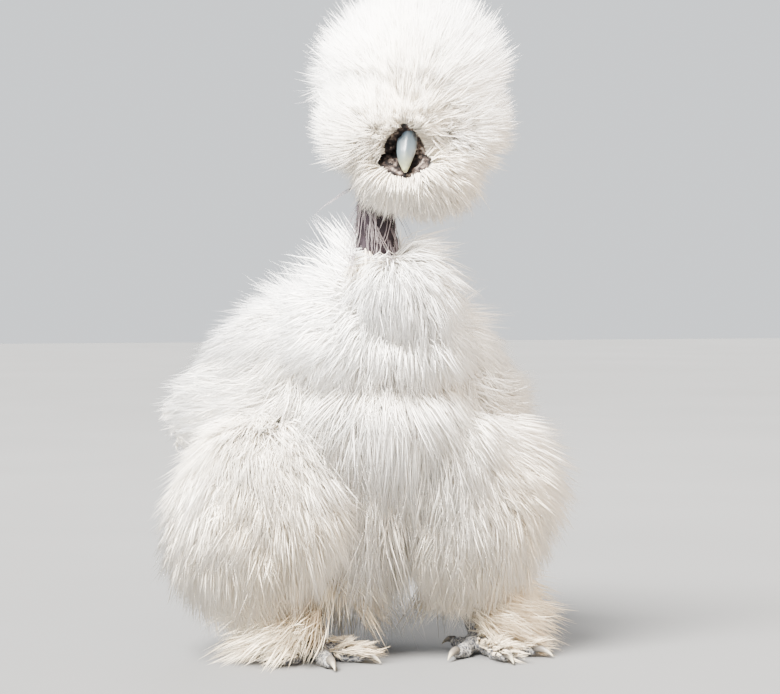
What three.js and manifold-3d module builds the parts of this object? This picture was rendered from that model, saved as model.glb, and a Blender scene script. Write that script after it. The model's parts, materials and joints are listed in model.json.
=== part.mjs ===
// A bare-necked, crested, bearded silkie hen, life size, standing with her head turned and bowed a little.
// Millimetres. X runs to the bird's left, -Y is the way she faces, Z is up, and the floor is Z = 0.
// Her coat is modelled as flat, tapered locks rooted in a soft core. Quill feathers are thin vanes.
import * as THREE from "three";
import { mergeVertices } from "three/addons/utils/BufferGeometryUtils.js";
import Module from "manifold-3d";

const wasm = await Module();
wasm.setup();

const v3 = (x, y, z) => new THREE.Vector3(x, y, z);
const radians = THREE.MathUtils.degToRad;
const lerp = THREE.MathUtils.lerp;

// Driving dimensions.
const GAP = 0.35; // between pieces that touch
const LEAN = -14; // the trunk hangs this far to her right of the feet
const STANCE = 46; // from the middle line to each foot
const FOOT_Y = 24; // where the toes meet, fore and aft
const HEAD_AT = v3(-16, -47, 287); // middle of the skull
const HEAD_YAW = -12; // degrees, towards her right
const HEAD_PITCH = 45; // degrees, bowed
const POMPOM_AT = v3(-9, -37, 296); // middle of crest and beard together

// Colours and surfaces, one for each kind of tissue.
const surface = (color, roughness) => new THREE.MeshStandardMaterial({ color, roughness, metalness: 0 });
const PLUMAGE = surface(0xf4f1ea, 0.9);
const FOOT_PLUMAGE = surface(0xe9d9b8, 0.9);
const NECK_SKIN = surface(0x4a4046, 0.7);
const FACE_SKIN = surface(0x2b2024, 0.6);
const FOOT_SKIN = surface(0x55585e, 0.6);
const BILL_HORN = surface(0x8f9ba0, 0.35);
const CLAW_HORN = surface(0xa59a86, 0.4);
const EYE_BLACK = surface(0x0c0a0a, 0.1);

// Seeded random numbers, so that every build is the same.
function seeded(seed) {
  let state = seed;
  return () => {
    state = (state + 0x6d2b79f5) | 0;
    let t = Math.imul(state ^ (state >>> 15), 1 | state);
    t = (t + Math.imul(t ^ (t >>> 7), 61 | t)) ^ t;
    return ((t ^ (t >>> 14)) >>> 0) / 4294967296;
  };
}

// A closed geometry as a solid that can be joined and cut.
function solidOf(geometry) {
  geometry.deleteAttribute("normal");
  geometry.deleteAttribute("uv");
  const merged = mergeVertices(geometry, 1e-4);
  const vertProperties = merged.attributes.position.array;
  const triVerts = new Uint32Array(merged.index.array);
  const made = new wasm.Manifold(new wasm.Mesh({ numProp: 3, vertProperties, triVerts }));
  if (made.volume() > 0) return made;
  for (let i = 0; i < triVerts.length; i += 3) {
    [triVerts[i + 1], triVerts[i + 2]] = [triVerts[i + 2], triVerts[i + 1]];
  }
  return new wasm.Manifold(new wasm.Mesh({ numProp: 3, vertProperties, triVerts }));
}

// Moves every vertex of a geometry to where place() puts it.
function reshaped(geometry, place) {
  const position = geometry.attributes.position;
  const p = v3(0, 0, 0);
  for (let i = 0; i < position.count; i++) {
    place(p.fromBufferAttribute(position, i));
    position.setXYZ(i, p.x, p.y, p.z);
  }
  return geometry;
}

const joined = (solids) => solids.reduce((sum, s) => sum.add(s));
const cutBy = (solid, cutters) => cutters.reduce((left, c) => left.subtract(c), solid);

// The largest closed surface of a solid: this fills sealed hollows and drops loose scraps.
function largest(solid) {
  const pieces = solid.decompose();
  return pieces.reduce((a, b) => (b.volume() > a.volume() ? b : a));
}

const hen = new THREE.Group();

function addNode(name, solid, material) {
  const { numVert, numProp, vertProperties, triVerts } = largest(solid).getMesh();
  const position = new Float32Array(numVert * 3);
  for (let i = 0; i < numVert; i++) {
    position.set(vertProperties.subarray(i * numProp, i * numProp + 3), i * 3);
  }
  const geometry = new THREE.BufferGeometry();
  geometry.setAttribute("position", new THREE.BufferAttribute(position, 3));
  geometry.setIndex(new THREE.BufferAttribute(triVerts, 1));
  geometry.computeVertexNormals();
  const mesh = new THREE.Mesh(geometry, material);
  mesh.name = name;
  hen.add(mesh);
}

// An egg: a ball pulled to three half lengths, slimmer towards its front, then pitched, turned and placed.
class Egg {
  constructor(at, half, { pitch = 0, yaw = 0, roll = 0, slim = 0 } = {}) {
    this.at = at;
    this.half = half;
    this.slim = slim;
    const turn = new THREE.Euler(radians(-pitch), radians(roll), radians(yaw), "ZYX");
    this.turn = new THREE.Quaternion().setFromEuler(turn);
  }
  point(d, out = 0) {
    const narrow = 1 + this.slim * d.y;
    const [x, y, z] = this.half;
    const p = v3(d.x * (x + out) * narrow, d.y * (y + out), d.z * (z + out) * narrow);
    return p.applyQuaternion(this.turn).add(this.at);
  }
  normal(d) {
    const [x, y, z] = this.half;
    return v3(d.x / x, d.y / y, d.z / z).normalize().applyQuaternion(this.turn);
  }
  holds(p, out) {
    const q = p.clone().sub(this.at).applyQuaternion(this.turn.clone().invert());
    const [x, y, z] = this.half;
    const along = q.y / (y + out);
    const narrow = 1 + this.slim * THREE.MathUtils.clamp(along, -1, 1);
    return (q.x / (x + out) / narrow) ** 2 + along ** 2 + (q.z / (z + out) / narrow) ** 2 < 1;
  }
  solid(out = 0, detail = 2) {
    const ball = new THREE.IcosahedronGeometry(1, detail);
    return solidOf(reshaped(ball, (p) => p.copy(this.point(p.clone().normalize(), out))));
  }
}

// A bar along a curve, with its radius given along the way.
function bar(points, radius, sides, steps, grow = 0) {
  const curve = new THREE.CatmullRomCurve3(points);
  const frames = curve.computeFrenetFrames(steps);
  return solidOf(
    reshaped(new THREE.CylinderGeometry(1, 1, 1, sides, steps), (p) => {
      const t = 0.5 - p.y;
      const i = Math.round(t * steps);
      const r = radius(t) + grow;
      const [x, z] = [p.x * r, p.z * r];
      p.copy(curve.getPointAt(t)).addScaledVector(frames.normals[i], x).addScaledVector(frames.binormals[i], z);
      if (i === 0) p.addScaledVector(frames.tangents[0], -grow);
      if (i === steps) p.addScaledVector(frames.tangents[steps], grow);
    }),
  );
}

// One lock or vane: a flat blade, ridged along its top, that leaves its root, bends over and runs out to a
// point. rise is how far its tip stands off the form, and length how far it runs along it.
const EDGE_GROW = 8; // a blade's thin edges need this much of any growth
function lock(spec, grow = 0) {
  const { root, out, flow, length, rise, width, thick, sway = 0, sink = 5, hump = 1.1, full = 2.2 } = spec;
  const side = v3(0, 0, 0).crossVectors(flow, out).normalize();
  const start = root.clone().addScaledVector(out, -sink).addScaledVector(flow, -sink * 0.5);
  const bend = root.clone().addScaledVector(out, rise * hump).addScaledVector(flow, length * 0.42);
  const tip = root.clone().addScaledVector(out, rise).addScaledVector(flow, length).addScaledVector(side, sway);
  const spine = new THREE.QuadraticBezierCurve3(start, bend, tip);
  const last = tip.clone().sub(spine.getPoint(0.5)).normalize();
  return solidOf(
    reshaped(new THREE.ConeGeometry(1, 1, 3, 2), (p) => {
      const t = p.y + 0.5;
      if (t > 0.999) {
        p.copy(tip).addScaledVector(last, 4 * grow);
        return;
      }
      const edge = p.x / (1 - t) / Math.sin(radians(120));
      const across = edge * ((width / 2) * (1 - t ** full) + EDGE_GROW * grow);
      const deep = (p.z / (1 - t)) * (thick * (1 - 0.6 * t) + 2 * grow);
      const face = v3(0, 0, 0).crossVectors(side, spine.getTangent(t)).normalize();
      p.copy(spine.getPoint(t)).addScaledVector(side, across).addScaledVector(face, deep);
      if (t < 0.001) p.addScaledVector(spine.getTangent(0), -2 * grow);
    }),
  );
}

// Directions spread evenly over a ball.
function spread(count) {
  const golden = Math.PI * (3 - Math.sqrt(5));
  return Array.from({ length: count }, (_, i) => {
    const z = 1 - (2 * (i + 0.5)) / count;
    const r = Math.sqrt(1 - z * z);
    return v3(r * Math.cos(i * golden), r * Math.sin(i * golden), z);
  });
}

// The locks of a coat over an egg. flow() gives the lie of the coat, and keep() where it grows. None grows
// where its tip would stand inside one of the others, each given as an egg and how deep its own coat is.
function coat(egg, { count, core, seed, flow, keep, others = [], length, rise, width, thick = 3.5, hump = 1.1 }) {
  const random = seeded(seed);
  const locks = [];
  for (const d of spread(count)) {
    const vary = [random(), random(), random()];
    const root = egg.point(d, core);
    const out = egg.normal(d);
    const top = root.clone().addScaledVector(out, rise);
    if (!keep(root, out) || others.some(([other, deep]) => other.holds(top, deep))) continue;
    const lie = flow(root, out).normalize();
    lie.addScaledVector(out, -lie.dot(out)).normalize();
    locks.push({
      root,
      out,
      flow: lie,
      length: length * lerp(0.85, 1.15, vary[0]),
      rise: rise * lerp(0.88, 1.12, vary[1]),
      width: width * lerp(0.9, 1.1, vary[1]),
      thick,
      sway: length * lerp(-0.12, 0.12, vary[2]),
      hump,
    });
  }
  return locks;
}

const lockSolids = (locks, grow = 0) => locks.map((spec) => lock(spec, grow));

// Forms with their coats, from the innermost out, each given as { name, core, locks }. Each form lies on the
// cores inside it, and its locks are cut clear of the forms outside it.
const CORE_SKIN = 0.1;
function seated(forms) {
  const whole = (form, grow) => joined([form.core(grow), ...lockSolids(form.locks, grow)]);
  const wide = forms.map((form) => whole(form, GAP));
  return forms.map((form, i) => {
    const inner = forms.slice(0, i).map(({ core }) => core(GAP));
    const skin = form.core(CORE_SKIN);
    const outer = wide.slice(i + 1).map((cutter) => cutter.subtract(skin));
    return { ...form, solid: cutBy(whole(form, 0), [...inner, ...outer]) };
  });
}

const SIDES = [["right", -1], ["left", 1]];

// The forms of the body. The core of a coat reaches no more than half way to its tips.
const TRUNK_CORE = 16;
const WING_CORE = 7;
const TAIL_CORE = 8;
const THIGH_CORE = 12;
const TUFT_CORE = 3;
const TAIL_PITCH = -38;
const WING_PITCH = 40;
const THIGH_OUT = { right: 62, left: 48 }; // she settles towards her right
const trunk = new Egg(v3(LEAN, 18, 130), [36, 70, 42], { pitch: 56, slim: 0.2 });
const saddle = new Egg(v3(LEAN, 68, 140), [40, 40, 36], { pitch: 24 });
const rump = new Egg(v3(LEAN - 2, 72, 94), [44, 34, 34]);
const tailEgg = new Egg(v3(LEAN, 112, 158), [22, 28, 18], { pitch: TAIL_PITCH });
const tuftEgg = new Egg(v3(LEAN + 4, -30, 198), [24, 13, 19], { pitch: 15 });
const wingEgg = (side) => {
  const turned = { pitch: WING_PITCH, yaw: -side * 16, roll: -side * 20, slim: 0.15 };
  return new Egg(v3(LEAN + side * 55, 44, 146), [13, 50, 31], turned);
};
const thighEgg = (side) => {
  const out = side < 0 ? THIGH_OUT.right : THIGH_OUT.left;
  return new Egg(v3(LEAN + side * out, 20, 88), [26, 38, 36], { yaw: -side * 8, pitch: 8 });
};
const wingEggs = SIDES.map(([, side]) => [wingEgg(side), WING_CORE + 8]);
const thighEggs = SIDES.map(([, side]) => [thighEgg(side), THIGH_CORE + 8]);
const neckBase = v3(LEAN - 4, -24, 214);

// Wings: folded, hung a little low, each with two tiers of frayed quills below the fluff.
const WING_TIERS = [
  { count: 5, from: 0.1, to: 0.72, drop: 0.5, length: 56, rise: 3 },
  { count: 4, from: 0.3, to: 0.8, drop: 0.15, length: 40, rise: 9 },
];
function wingOf(side) {
  const egg = wingEgg(side);
  const back = v3(side * 0.12, Math.cos(radians(WING_PITCH)), -Math.sin(radians(WING_PITCH)));
  const fluff = coat(egg, {
    count: 24,
    core: WING_CORE,
    seed: 12 - side,
    keep: (root, out) => out.x * side > 0.15,
    flow: () => v3(side * 0.1, 0.7, -1),
    length: 46,
    rise: 12,
    width: 34,
  });
  const quills = WING_TIERS.flatMap(({ count, from, to, drop, length, rise }) =>
    Array.from({ length: count }, (_, i) => {
      const share = i / (count - 1);
      const reach = lerp(from, to, share);
      const d = v3(side * 0.35, reach, -Math.sqrt(1 - reach * reach) * drop).normalize();
      const out = egg.normal(d);
      const flow = back.clone().add(v3(0, 0, lerp(-0.35, 0.25, share)));
      flow.addScaledVector(out, -flow.dot(out)).normalize();
      return { root: egg.point(d, 4), out, flow, length, rise, width: 20, thick: 1.6, full: 4 };
    }),
  );
  return { core: (grow) => egg.solid(WING_CORE + grow, 1), locks: [...fluff, ...quills] };
}

// Tail: a short soft cushion with a fan of frayed quills in two tiers.
const TAIL_TIERS = [
  { count: 6, fan: 52, length: 50, lift: 0.1 },
  { count: 4, fan: 36, length: 38, lift: 0.5 },
];
const tailFluff = coat(tailEgg, {
  count: 22,
  core: TAIL_CORE,
  seed: 21,
  keep: (root, out) => out.y > -0.1,
  others: [[saddle, TRUNK_CORE]],
  flow: (root) => root.clone().sub(v3(LEAN, 66, 140)).add(v3(0, 10, 0)),
  length: 38,
  rise: 14,
  width: 26,
});
const tailUp = v3(0, 0, 1).applyQuaternion(tailEgg.turn);
const tailQuills = TAIL_TIERS.flatMap(({ count, fan, length, lift }) =>
  Array.from({ length: count }, (_, i) => {
    const turn = radians(lerp(-fan, fan, i / (count - 1)));
    const root = tailEgg.point(v3(Math.sin(turn), Math.cos(turn), lift).normalize(), -4);
    const flow = v3(Math.sin(turn) * 0.8, 1, 0).applyQuaternion(tailEgg.turn).normalize();
    const out = tailUp.clone().addScaledVector(flow, -tailUp.dot(flow)).normalize();
    return { root, out, flow, length, rise: 3, width: 22, thick: 1.6, sink: 2, full: 4 };
  }),
);
const tail = { core: (grow) => tailEgg.solid(TAIL_CORE + grow, 1), locks: [...tailFluff, ...tailQuills] };

// Thighs: round muffs of fluff that come down to the hocks.
function thighOf(side) {
  const egg = thighEgg(side);
  const locks = coat(egg, {
    count: 24,
    core: THIGH_CORE,
    seed: 32 - side,
    keep: (root, out) => out.z < 0.7 && out.x * side > -0.35 && out.z > -0.8,
    others: [[wingEgg(side), WING_CORE + 8], [trunk, TRUNK_CORE], [rump, TRUNK_CORE]],
    flow: (root, out) => v3(out.x * 0.4, out.y * 0.3, -1),
    length: 38,
    rise: 14,
    width: 36,
  });
  return { core: (grow) => egg.solid(THIGH_CORE + grow, 1), locks };
}

// Neck: bare skin from the shoulders to the back of the skull.
const NECK_PATH = [
  v3(LEAN - 2, -8, 186),
  v3(LEAN - 8, -21, 214),
  v3(LEAN - 11, -27, 236),
  v3(LEAN - 8, -32, 258),
  v3(LEAN - 3, -40, 280),
];
const NECK_RADIUS = 9.5;
const neckSolid = (grow) => bar(NECK_PATH, (t) => NECK_RADIUS + 8 * (1 - t) ** 4, 10, 7, grow);

// Head frame: left, forward and up of the skull, bowed and turned.
const headTurn = new THREE.Quaternion().setFromEuler(
  new THREE.Euler(radians(HEAD_PITCH), 0, radians(HEAD_YAW), "ZYX"),
);
const onHead = (geometry) => geometry.applyQuaternion(headTurn).translate(HEAD_AT.x, HEAD_AT.y, HEAD_AT.z);
const headPoint = (left, forward, up) => v3(left, -forward, up).applyQuaternion(headTurn).add(HEAD_AT);

// A row of ovals along the head, each given as [forward, up, half width, half height].
function ovals(rings, sides, grow = 0) {
  const steps = rings.length - 1;
  const shape = reshaped(new THREE.CylinderGeometry(1, 1, 1, sides, steps), (p) => {
    const i = Math.round((0.5 - p.y) * steps);
    const [forward, up, halfWidth, halfHeight] = rings[i];
    const end = (i === 0 ? -grow : 0) + (i === steps ? grow : 0);
    const x = p.x * (halfWidth + grow);
    const z = p.z * (halfHeight + grow);
    p.set(x, -(forward + end), up + z);
  });
  return solidOf(onHead(shape));
}

// Skull with flesh, from the nape to the bill.
const SKULL = [
  [-21, 1, 1, 1],
  [-19, 1, 8, 8.5],
  [-13, 1, 12.5, 13],
  [-4, 1, 14.5, 15],
  [5, 0, 13.5, 13.5],
  [13, -1.5, 9.5, 10],
  [20, -2, 6, 7],
  [21, -2, 1, 1],
];
const skull = (grow) => ovals(SKULL, 10, grow);

// Eyes and the lids round them.
const EYE_RADIUS = 4.3;
const EYE_FORWARD = 5;
const EYE_UP = 3.5;
const EYE_OUT = 10.4;
const LID_THICK = 1.1;
function eyeSolid(side, grow = 0) {
  const at = headPoint(side * EYE_OUT, EYE_FORWARD, EYE_UP);
  return solidOf(new THREE.SphereGeometry(EYE_RADIUS + grow, 9, 6).translate(at.x, at.y, at.z));
}
function lidSolid(side) {
  const ring = new THREE.TorusGeometry(EYE_RADIUS - 0.1, LID_THICK, 3, 8);
  ring.rotateY(Math.PI / 2);
  ring.scale(1, 1.15, 0.92);
  return solidOf(onHead(ring.translate(side * (EYE_OUT + 2.1), -EYE_FORWARD, EYE_UP)));
}

// Bill: a curved upper half over a shorter lower one, with the line of the mouth between them.
const UPPER_BILL = [
  [11, 0.2, 5.4, 3.8],
  [17, 0.6, 5.1, 3.8],
  [24, 0.4, 4.3, 3.4],
  [31, -1.4, 3, 2.7],
  [36.5, -4.4, 1.7, 2],
  [39, -7.4, 0.5, 0.6],
];
const LOWER_BILL = [
  [11, -6.8, 4.6, 2.2],
  [17, -6.7, 4.3, 2.1],
  [24, -6.5, 3.5, 1.8],
  [30, -6.9, 2.3, 1.4],
  [34, -8, 0.7, 0.5],
];
const upperBill = (grow) => ovals(UPPER_BILL, 10, grow);
const lowerBill = (grow) => ovals(LOWER_BILL, 8, grow);
function nostril(side) {
  const pit = new THREE.SphereGeometry(1, 6, 5).scale(1.4, 2.1, 0.8);
  return solidOf(onHead(pit.translate(side * 4.7, -20.5, 2)));
}

// Comb: a low cushion of bulbs over the root of the bill, given as [left, forward, up, radius].
const COMB_BULBS = [
  [-3.2, 14, 7.6, 3.8],
  [3.2, 14, 7.6, 3.8],
  [0.5, 10.6, 10, 3.8],
];
function combSolid(grow = 0) {
  return joined(
    COMB_BULBS.map(([left, forward, up, radius]) => {
      const at = headPoint(left, forward, up);
      return solidOf(new THREE.IcosahedronGeometry(radius + grow, 1).translate(at.x, at.y, at.z));
    }),
  );
}

// Wattles and ear lobes: soft bare bulbs beside the bill.
const wattleEgg = (side) =>
  new Egg(headPoint(side * 8.4, 17.5, -8.5), [3.4, 5.2, 6.6], { pitch: -30, roll: side * 16, yaw: HEAD_YAW });

// The eyes sink into the skull. Bill, comb and wattles are fitted over it.
const eyes = [eyeSolid(1, GAP), eyeSolid(-1, GAP)];
const skullCut = skull(GAP);
const billCut = [upperBill(GAP), lowerBill(GAP)];
addNode("head", cutBy(joined([skull(0), lidSolid(1), lidSolid(-1)]), eyes), FACE_SKIN);
addNode("bill_upper", cutBy(upperBill(0), [skullCut, lowerBill(GAP), nostril(1), nostril(-1)]), BILL_HORN);
addNode("bill_lower", cutBy(lowerBill(0), [skullCut]), BILL_HORN);
addNode("comb", cutBy(combSolid(), [skullCut, ...billCut]), FACE_SKIN);
for (const [name, side] of SIDES) {
  addNode(`eye_${name}`, eyeSolid(side), EYE_BLACK);
  addNode(`wattle_${name}`, cutBy(wattleEgg(side).solid(0, 1), [skullCut, ...billCut]), FACE_SKIN);
}

// The room that skull, lids, comb and wattles need inside the fluff.
const lidRoom = (side) => new Egg(headPoint(side * EYE_OUT, EYE_FORWARD, EYE_UP), [6.6, 7.6, 7.6]).solid(0, 1);
const combRoom = new Egg(headPoint(0, 13, 8), [8, 7.5, 8]).solid(0, 1);
const wattleRoom = (side) => wattleEgg(side).solid(GAP + 0.15, 1);
const headRoom = joined([skullCut, lidRoom(1), lidRoom(-1), combRoom, wattleRoom(1), wattleRoom(-1)]);

// The bare face shows down a bowl in the fluff round the bill.
const faceFront = headPoint(0, 26, -6);
const BOWL_WAY = v3(-0.2, -0.97, 0).normalize();
const BOWL_DEPTH = 44;
const BOWL_SINK = 9;
const BOWL_CLEAR = 15;
const bowlTurn = new THREE.Quaternion().setFromUnitVectors(v3(0, 1, 0), BOWL_WAY);
const bowlAt = faceFront.clone().addScaledVector(BOWL_WAY, BOWL_DEPTH / 2 - BOWL_SINK);
const bowlShape = new THREE.CylinderGeometry(18, 10, BOWL_DEPTH, 12).applyQuaternion(bowlTurn);
const faceBowl = solidOf(bowlShape.translate(bowlAt.x, bowlAt.y, bowlAt.z));
function besideFace(root) {
  const from = root.clone().sub(faceFront);
  const ahead = from.dot(BOWL_WAY);
  return ahead < -30 || from.addScaledVector(BOWL_WAY, -ahead).length() > BOWL_CLEAR;
}
const awayFromFace = (root) => root.clone().sub(faceFront);

// The round pompom of crest, muffs and beard stands off the skull on every side.
const aroundSkull = (x, y, z, half) => new Egg(POMPOM_AT.clone().add(v3(x, y, z)), half);
const POMPOM = {
  crest: { egg: aroundSkull(0, 3, 6, [31, 30, 30]), count: 36, rise: 22, length: 12, width: 25 },
  beard: { egg: aroundSkull(-3, -16, -39, [20, 14, 9]), count: 16, rise: 13, length: 11, width: 22 },
  muff_right: { egg: aroundSkull(-25, -8, -15, [13, 16, 17]), count: 16, rise: 15, length: 12, width: 22 },
  muff_left: { egg: aroundSkull(23, -9, -15, [13, 16, 17]), count: 16, rise: 15, length: 12, width: 22 },
};
const pompomEggs = Object.values(POMPOM).map(({ egg }) => egg);
const headForms = Object.entries(POMPOM).map(([name, { egg, count, rise, length, width }], i) => {
  const locks = coat(egg, {
    count,
    core: 0,
    seed: 41 + i,
    keep: (root, out) => besideFace(root) && out.dot(root.clone().sub(POMPOM_AT)) > 14,
    others: pompomEggs.filter((other) => other !== egg).map((other) => [other, 5]),
    flow: awayFromFace,
    length,
    rise,
    width,
    thick: 3,
    hump: 0.6,
  });
  return { name, core: (grow) => egg.solid(grow, 1), locks };
});
for (const { name, solid } of seated(headForms)) {
  addNode(name, cutBy(solid, [faceBowl, headRoom, neckSolid(GAP)]), PLUMAGE);
}
addNode("neck", neckSolid(0).subtract(skullCut), NECK_SKIN);

// Feet. Each toe is a knuckled bar with its sole cut flat on the floor, and ends in a claw.
const ANKLE_Z = 9;
const TOES = [
  { toe: "inner", turn: -38, length: 34, radius: 4.4, lift: 0 },
  { toe: "middle", turn: 2, length: 45, radius: 4.8, lift: 0 },
  { toe: "outer", turn: 40, length: 36, radius: 4.4, lift: 0 },
  { toe: "hind", turn: 208, length: 21, radius: 3.9, lift: 0 },
  { toe: "fifth", turn: 176, length: 20, radius: 3.5, lift: 13 },
];
const TOE_Z = 3.6;
const CLAW_LENGTH = 13;
const KNUCKLES = 3;
const SOLE_CLEAR = 0.8; // the shank's plumes stop this far above the floor
const footCutters = [];
const floorSlab = (top) => solidOf(new THREE.BoxGeometry(900, 900, 100).translate(0, 0, top - 50));

const ankleOf = (side) => v3(side * STANCE, FOOT_Y, ANKLE_Z);
const heading = (side, degrees) => v3(side * Math.sin(radians(degrees)), -Math.cos(radians(degrees)), 0);
function toePath(side, { turn, length, lift }) {
  const way = heading(side, turn);
  const start = ankleOf(side);
  const low = lift ? ANKLE_Z - 1 : TOE_Z;
  return [
    start,
    start.clone().addScaledVector(way, length * 0.3).setZ(low + 1.6),
    start.clone().addScaledVector(way, length * 0.65).setZ(low + lift * 0.35),
    start.clone().addScaledVector(way, length).setZ(low + lift),
  ];
}
function toeSolid(side, toe, grow = 0) {
  const knuckled = (t) => toe.radius * (1.08 - 0.28 * t) * (1 + 0.07 * Math.cos(t * KNUCKLES * 2 * Math.PI));
  return bar(toePath(side, toe), (t) => knuckled(t) * Math.sqrt(1 - 0.75 * t ** 12), 5, 5, grow);
}
function clawSolid(side, toe, grow = 0) {
  const way = heading(side, toe.turn);
  const start = toePath(side, toe)[3].clone().addScaledVector(way, -1.5).add(v3(0, 0, 1));
  const length = CLAW_LENGTH * (toe.length < 25 ? 0.75 : 1);
  const bend = start.clone().addScaledVector(way, length * 0.6).add(v3(0, 0, 1.2));
  const tip = start.clone().addScaledVector(way, length + grow).add(v3(0, 0, toe.lift ? 1.5 : -3.6));
  const spine = new THREE.QuadraticBezierCurve3(start, bend, tip);
  const level = v3(-way.y, way.x, 0);
  return solidOf(
    reshaped(new THREE.ConeGeometry(1, 1, 6, 3), (p) => {
      const t = p.y + 0.5;
      const r = t < 1 ? (toe.radius * 0.6 * (1 - t ** 1.6) + grow) / (1 - t) : 0;
      const face = v3(0, 0, 0).crossVectors(level, spine.getTangent(t)).normalize();
      const [x, z] = [p.x * r * 0.8, p.z * r];
      p.copy(spine.getPoint(t)).addScaledVector(level, x).addScaledVector(face, z);
    }),
  );
}

// Shank: short, feathered down its outer side with long plumes that sweep out over the floor.
const HOCK = v3(40, 42, 58);
const shankSolid = (side, grow) => {
  const path = [ankleOf(side), v3(side * 43, 33, 28), v3(side * HOCK.x, HOCK.y, HOCK.z)];
  return bar(path, (t) => 6 + 2 * t, 6, 3, grow);
};
const plume = (root, way, fall, spec) => {
  const flow = way.clone().add(v3(0, 0, -fall)).normalize();
  const out = v3(0, 0, 1).addScaledVector(flow, -flow.z).normalize();
  return { root, out, flow, rise: 2, sink: 1, full: 3, ...spec };
};
const PLUME_ROWS = [
  { z: 15, count: 3, from: 8, to: 110, length: 54, fall: 0.16 },
  { z: 27, count: 3, from: -15, to: 92, length: 54, fall: 0.34 },
  { z: 38, count: 2, from: 0, to: 60, length: 46, fall: 0.55 },
];
function shankPlumes(side) {
  const random = seeded(side > 0 ? 61 : 62);
  return PLUME_ROWS.flatMap(({ z, count, from, to, length, fall }) =>
    Array.from({ length: count }, (_, i) => {
      const way = heading(side, lerp(from, to, i / (count - 1)) + 12 * (random() - 0.5));
      const up = (z - ANKLE_Z) / (HOCK.z - ANKLE_Z);
      const root = v3(side * lerp(STANCE, HOCK.x, up), lerp(FOOT_Y, HOCK.y, up), z).addScaledVector(way, 3);
      const low = fall * lerp(0.55, 1, i / (count - 1));
      return plume(root, way, low, { length: length * lerp(0.9, 1.1, random()), width: 30, thick: 3 });
    }),
  );
}

// Toe plumes: short tufts on the inner, middle and outer toes, each given as [toe turn, reach, fan].
const TOE_TUFTS = [
  [2, 22, 28],
  [40, 16, 44],
  [-38, 18, 25],
];
function toePlumes(side, grow) {
  const tufts = TOE_TUFTS.map(([turn, reach, fan]) => {
    const root = ankleOf(side).addScaledVector(heading(side, turn), reach).add(v3(0, 0, -2.5));
    return plume(root, heading(side, turn + fan), 0.16, { length: 24, width: 12, thick: 2 });
  });
  return lockSolids(tufts, grow);
}

for (const [name, side] of SIDES) {
  const claws = TOES.map((toe) => clawSolid(side, toe, GAP));
  const footForm = (grow) => joined([...TOES.map((toe) => toeSolid(side, toe, grow)), ...toePlumes(side, grow)]);
  const foot = cutBy(footForm(0), [...claws, shankSolid(side, GAP), floorSlab(0)]);
  addNode(`foot_${name}`, foot, FOOT_SKIN);
  for (const toe of TOES) addNode(`claw_${name}_${toe.toe}`, clawSolid(side, toe).subtract(floorSlab(0)), CLAW_HORN);
  footCutters.push(footForm(GAP), ...claws);
}

// Breast tuft: the lower neck carries one full tuft that hangs over the crop.
const tuftLocks = coat(tuftEgg, {
  count: 18,
  core: TUFT_CORE,
  seed: 81,
  keep: (root, out) => out.y < 0.4,
  others: [[trunk, 4]],
  flow: (root, out) => v3(out.x * 0.5, -0.1, -1),
  length: 40,
  rise: 9,
  width: 24,
});
const tuft = { core: (grow) => tuftEgg.solid(TUFT_CORE + grow, 1), locks: tuftLocks };

// The trunk's own coat, where no wing, thigh, tuft or tail grows.
const trunkForms = [trunk, saddle, rump];
const trunkCoat = (egg, count, seed, keep) =>
  coat(egg, {
    count,
    core: TRUNK_CORE,
    seed,
    keep: (root, out) => root.distanceTo(neckBase) > 22 && keep(root, out),
    others: [
      ...trunkForms.filter((form) => form !== egg).map((form) => [form, TRUNK_CORE + 4]),
      ...wingEggs,
      ...thighEggs,
      [tailEgg, TAIL_CORE + 6],
      [tuftEgg, TUFT_CORE + 4],
    ],
    flow: (root) => root.clone().sub(neckBase).normalize().add(v3(0, 0.15, -0.6)),
    length: 50,
    rise: TRUNK_CORE,
    width: 42,
  });
const torso = {
  core: (grow) => joined(trunkForms.map((egg) => egg.solid(TRUNK_CORE + grow))),
  locks: [
    ...trunkCoat(trunk, 36, 71, () => true),
    ...trunkCoat(saddle, 22, 72, (root, out) => out.y > -0.5 && out.z > -0.5),
    ...trunkCoat(rump, 18, 73, (root, out) => out.y > -0.2),
  ],
};

// The body is put together from the trunk out.
const bodyForms = [
  { name: "torso", ...torso },
  ...SIDES.map(([name, side]) => ({ name: `thigh_${name}`, ...thighOf(side) })),
  ...SIDES.map(([name, side]) => ({ name: `wing_${name}`, ...wingOf(side) })),
  { name: "tail", ...tail },
  { name: "breast_tuft", ...tuft },
  ...SIDES.map(([name, side]) => ({
    name: `shank_${name}`,
    core: (grow) => shankSolid(side, grow),
    locks: shankPlumes(side),
  })),
];
for (const { name, solid } of seated(bodyForms)) {
  const isShank = name.startsWith("shank");
  const cutters = isShank ? [joined(footCutters), floorSlab(SOLE_CLEAR)] : [neckSolid(GAP)];
  addNode(name, cutBy(solid, cutters), isShank ? FOOT_PLUMAGE : PLUMAGE);
}

// The origin is on the floor, under the middle of the bird.
const middle = new THREE.Box3().setFromObject(hen).getCenter(v3(0, 0, 0)).round();
hen.position.set(-middle.x, -middle.y, 0);

export default hen;
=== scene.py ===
import json
import math

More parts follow.
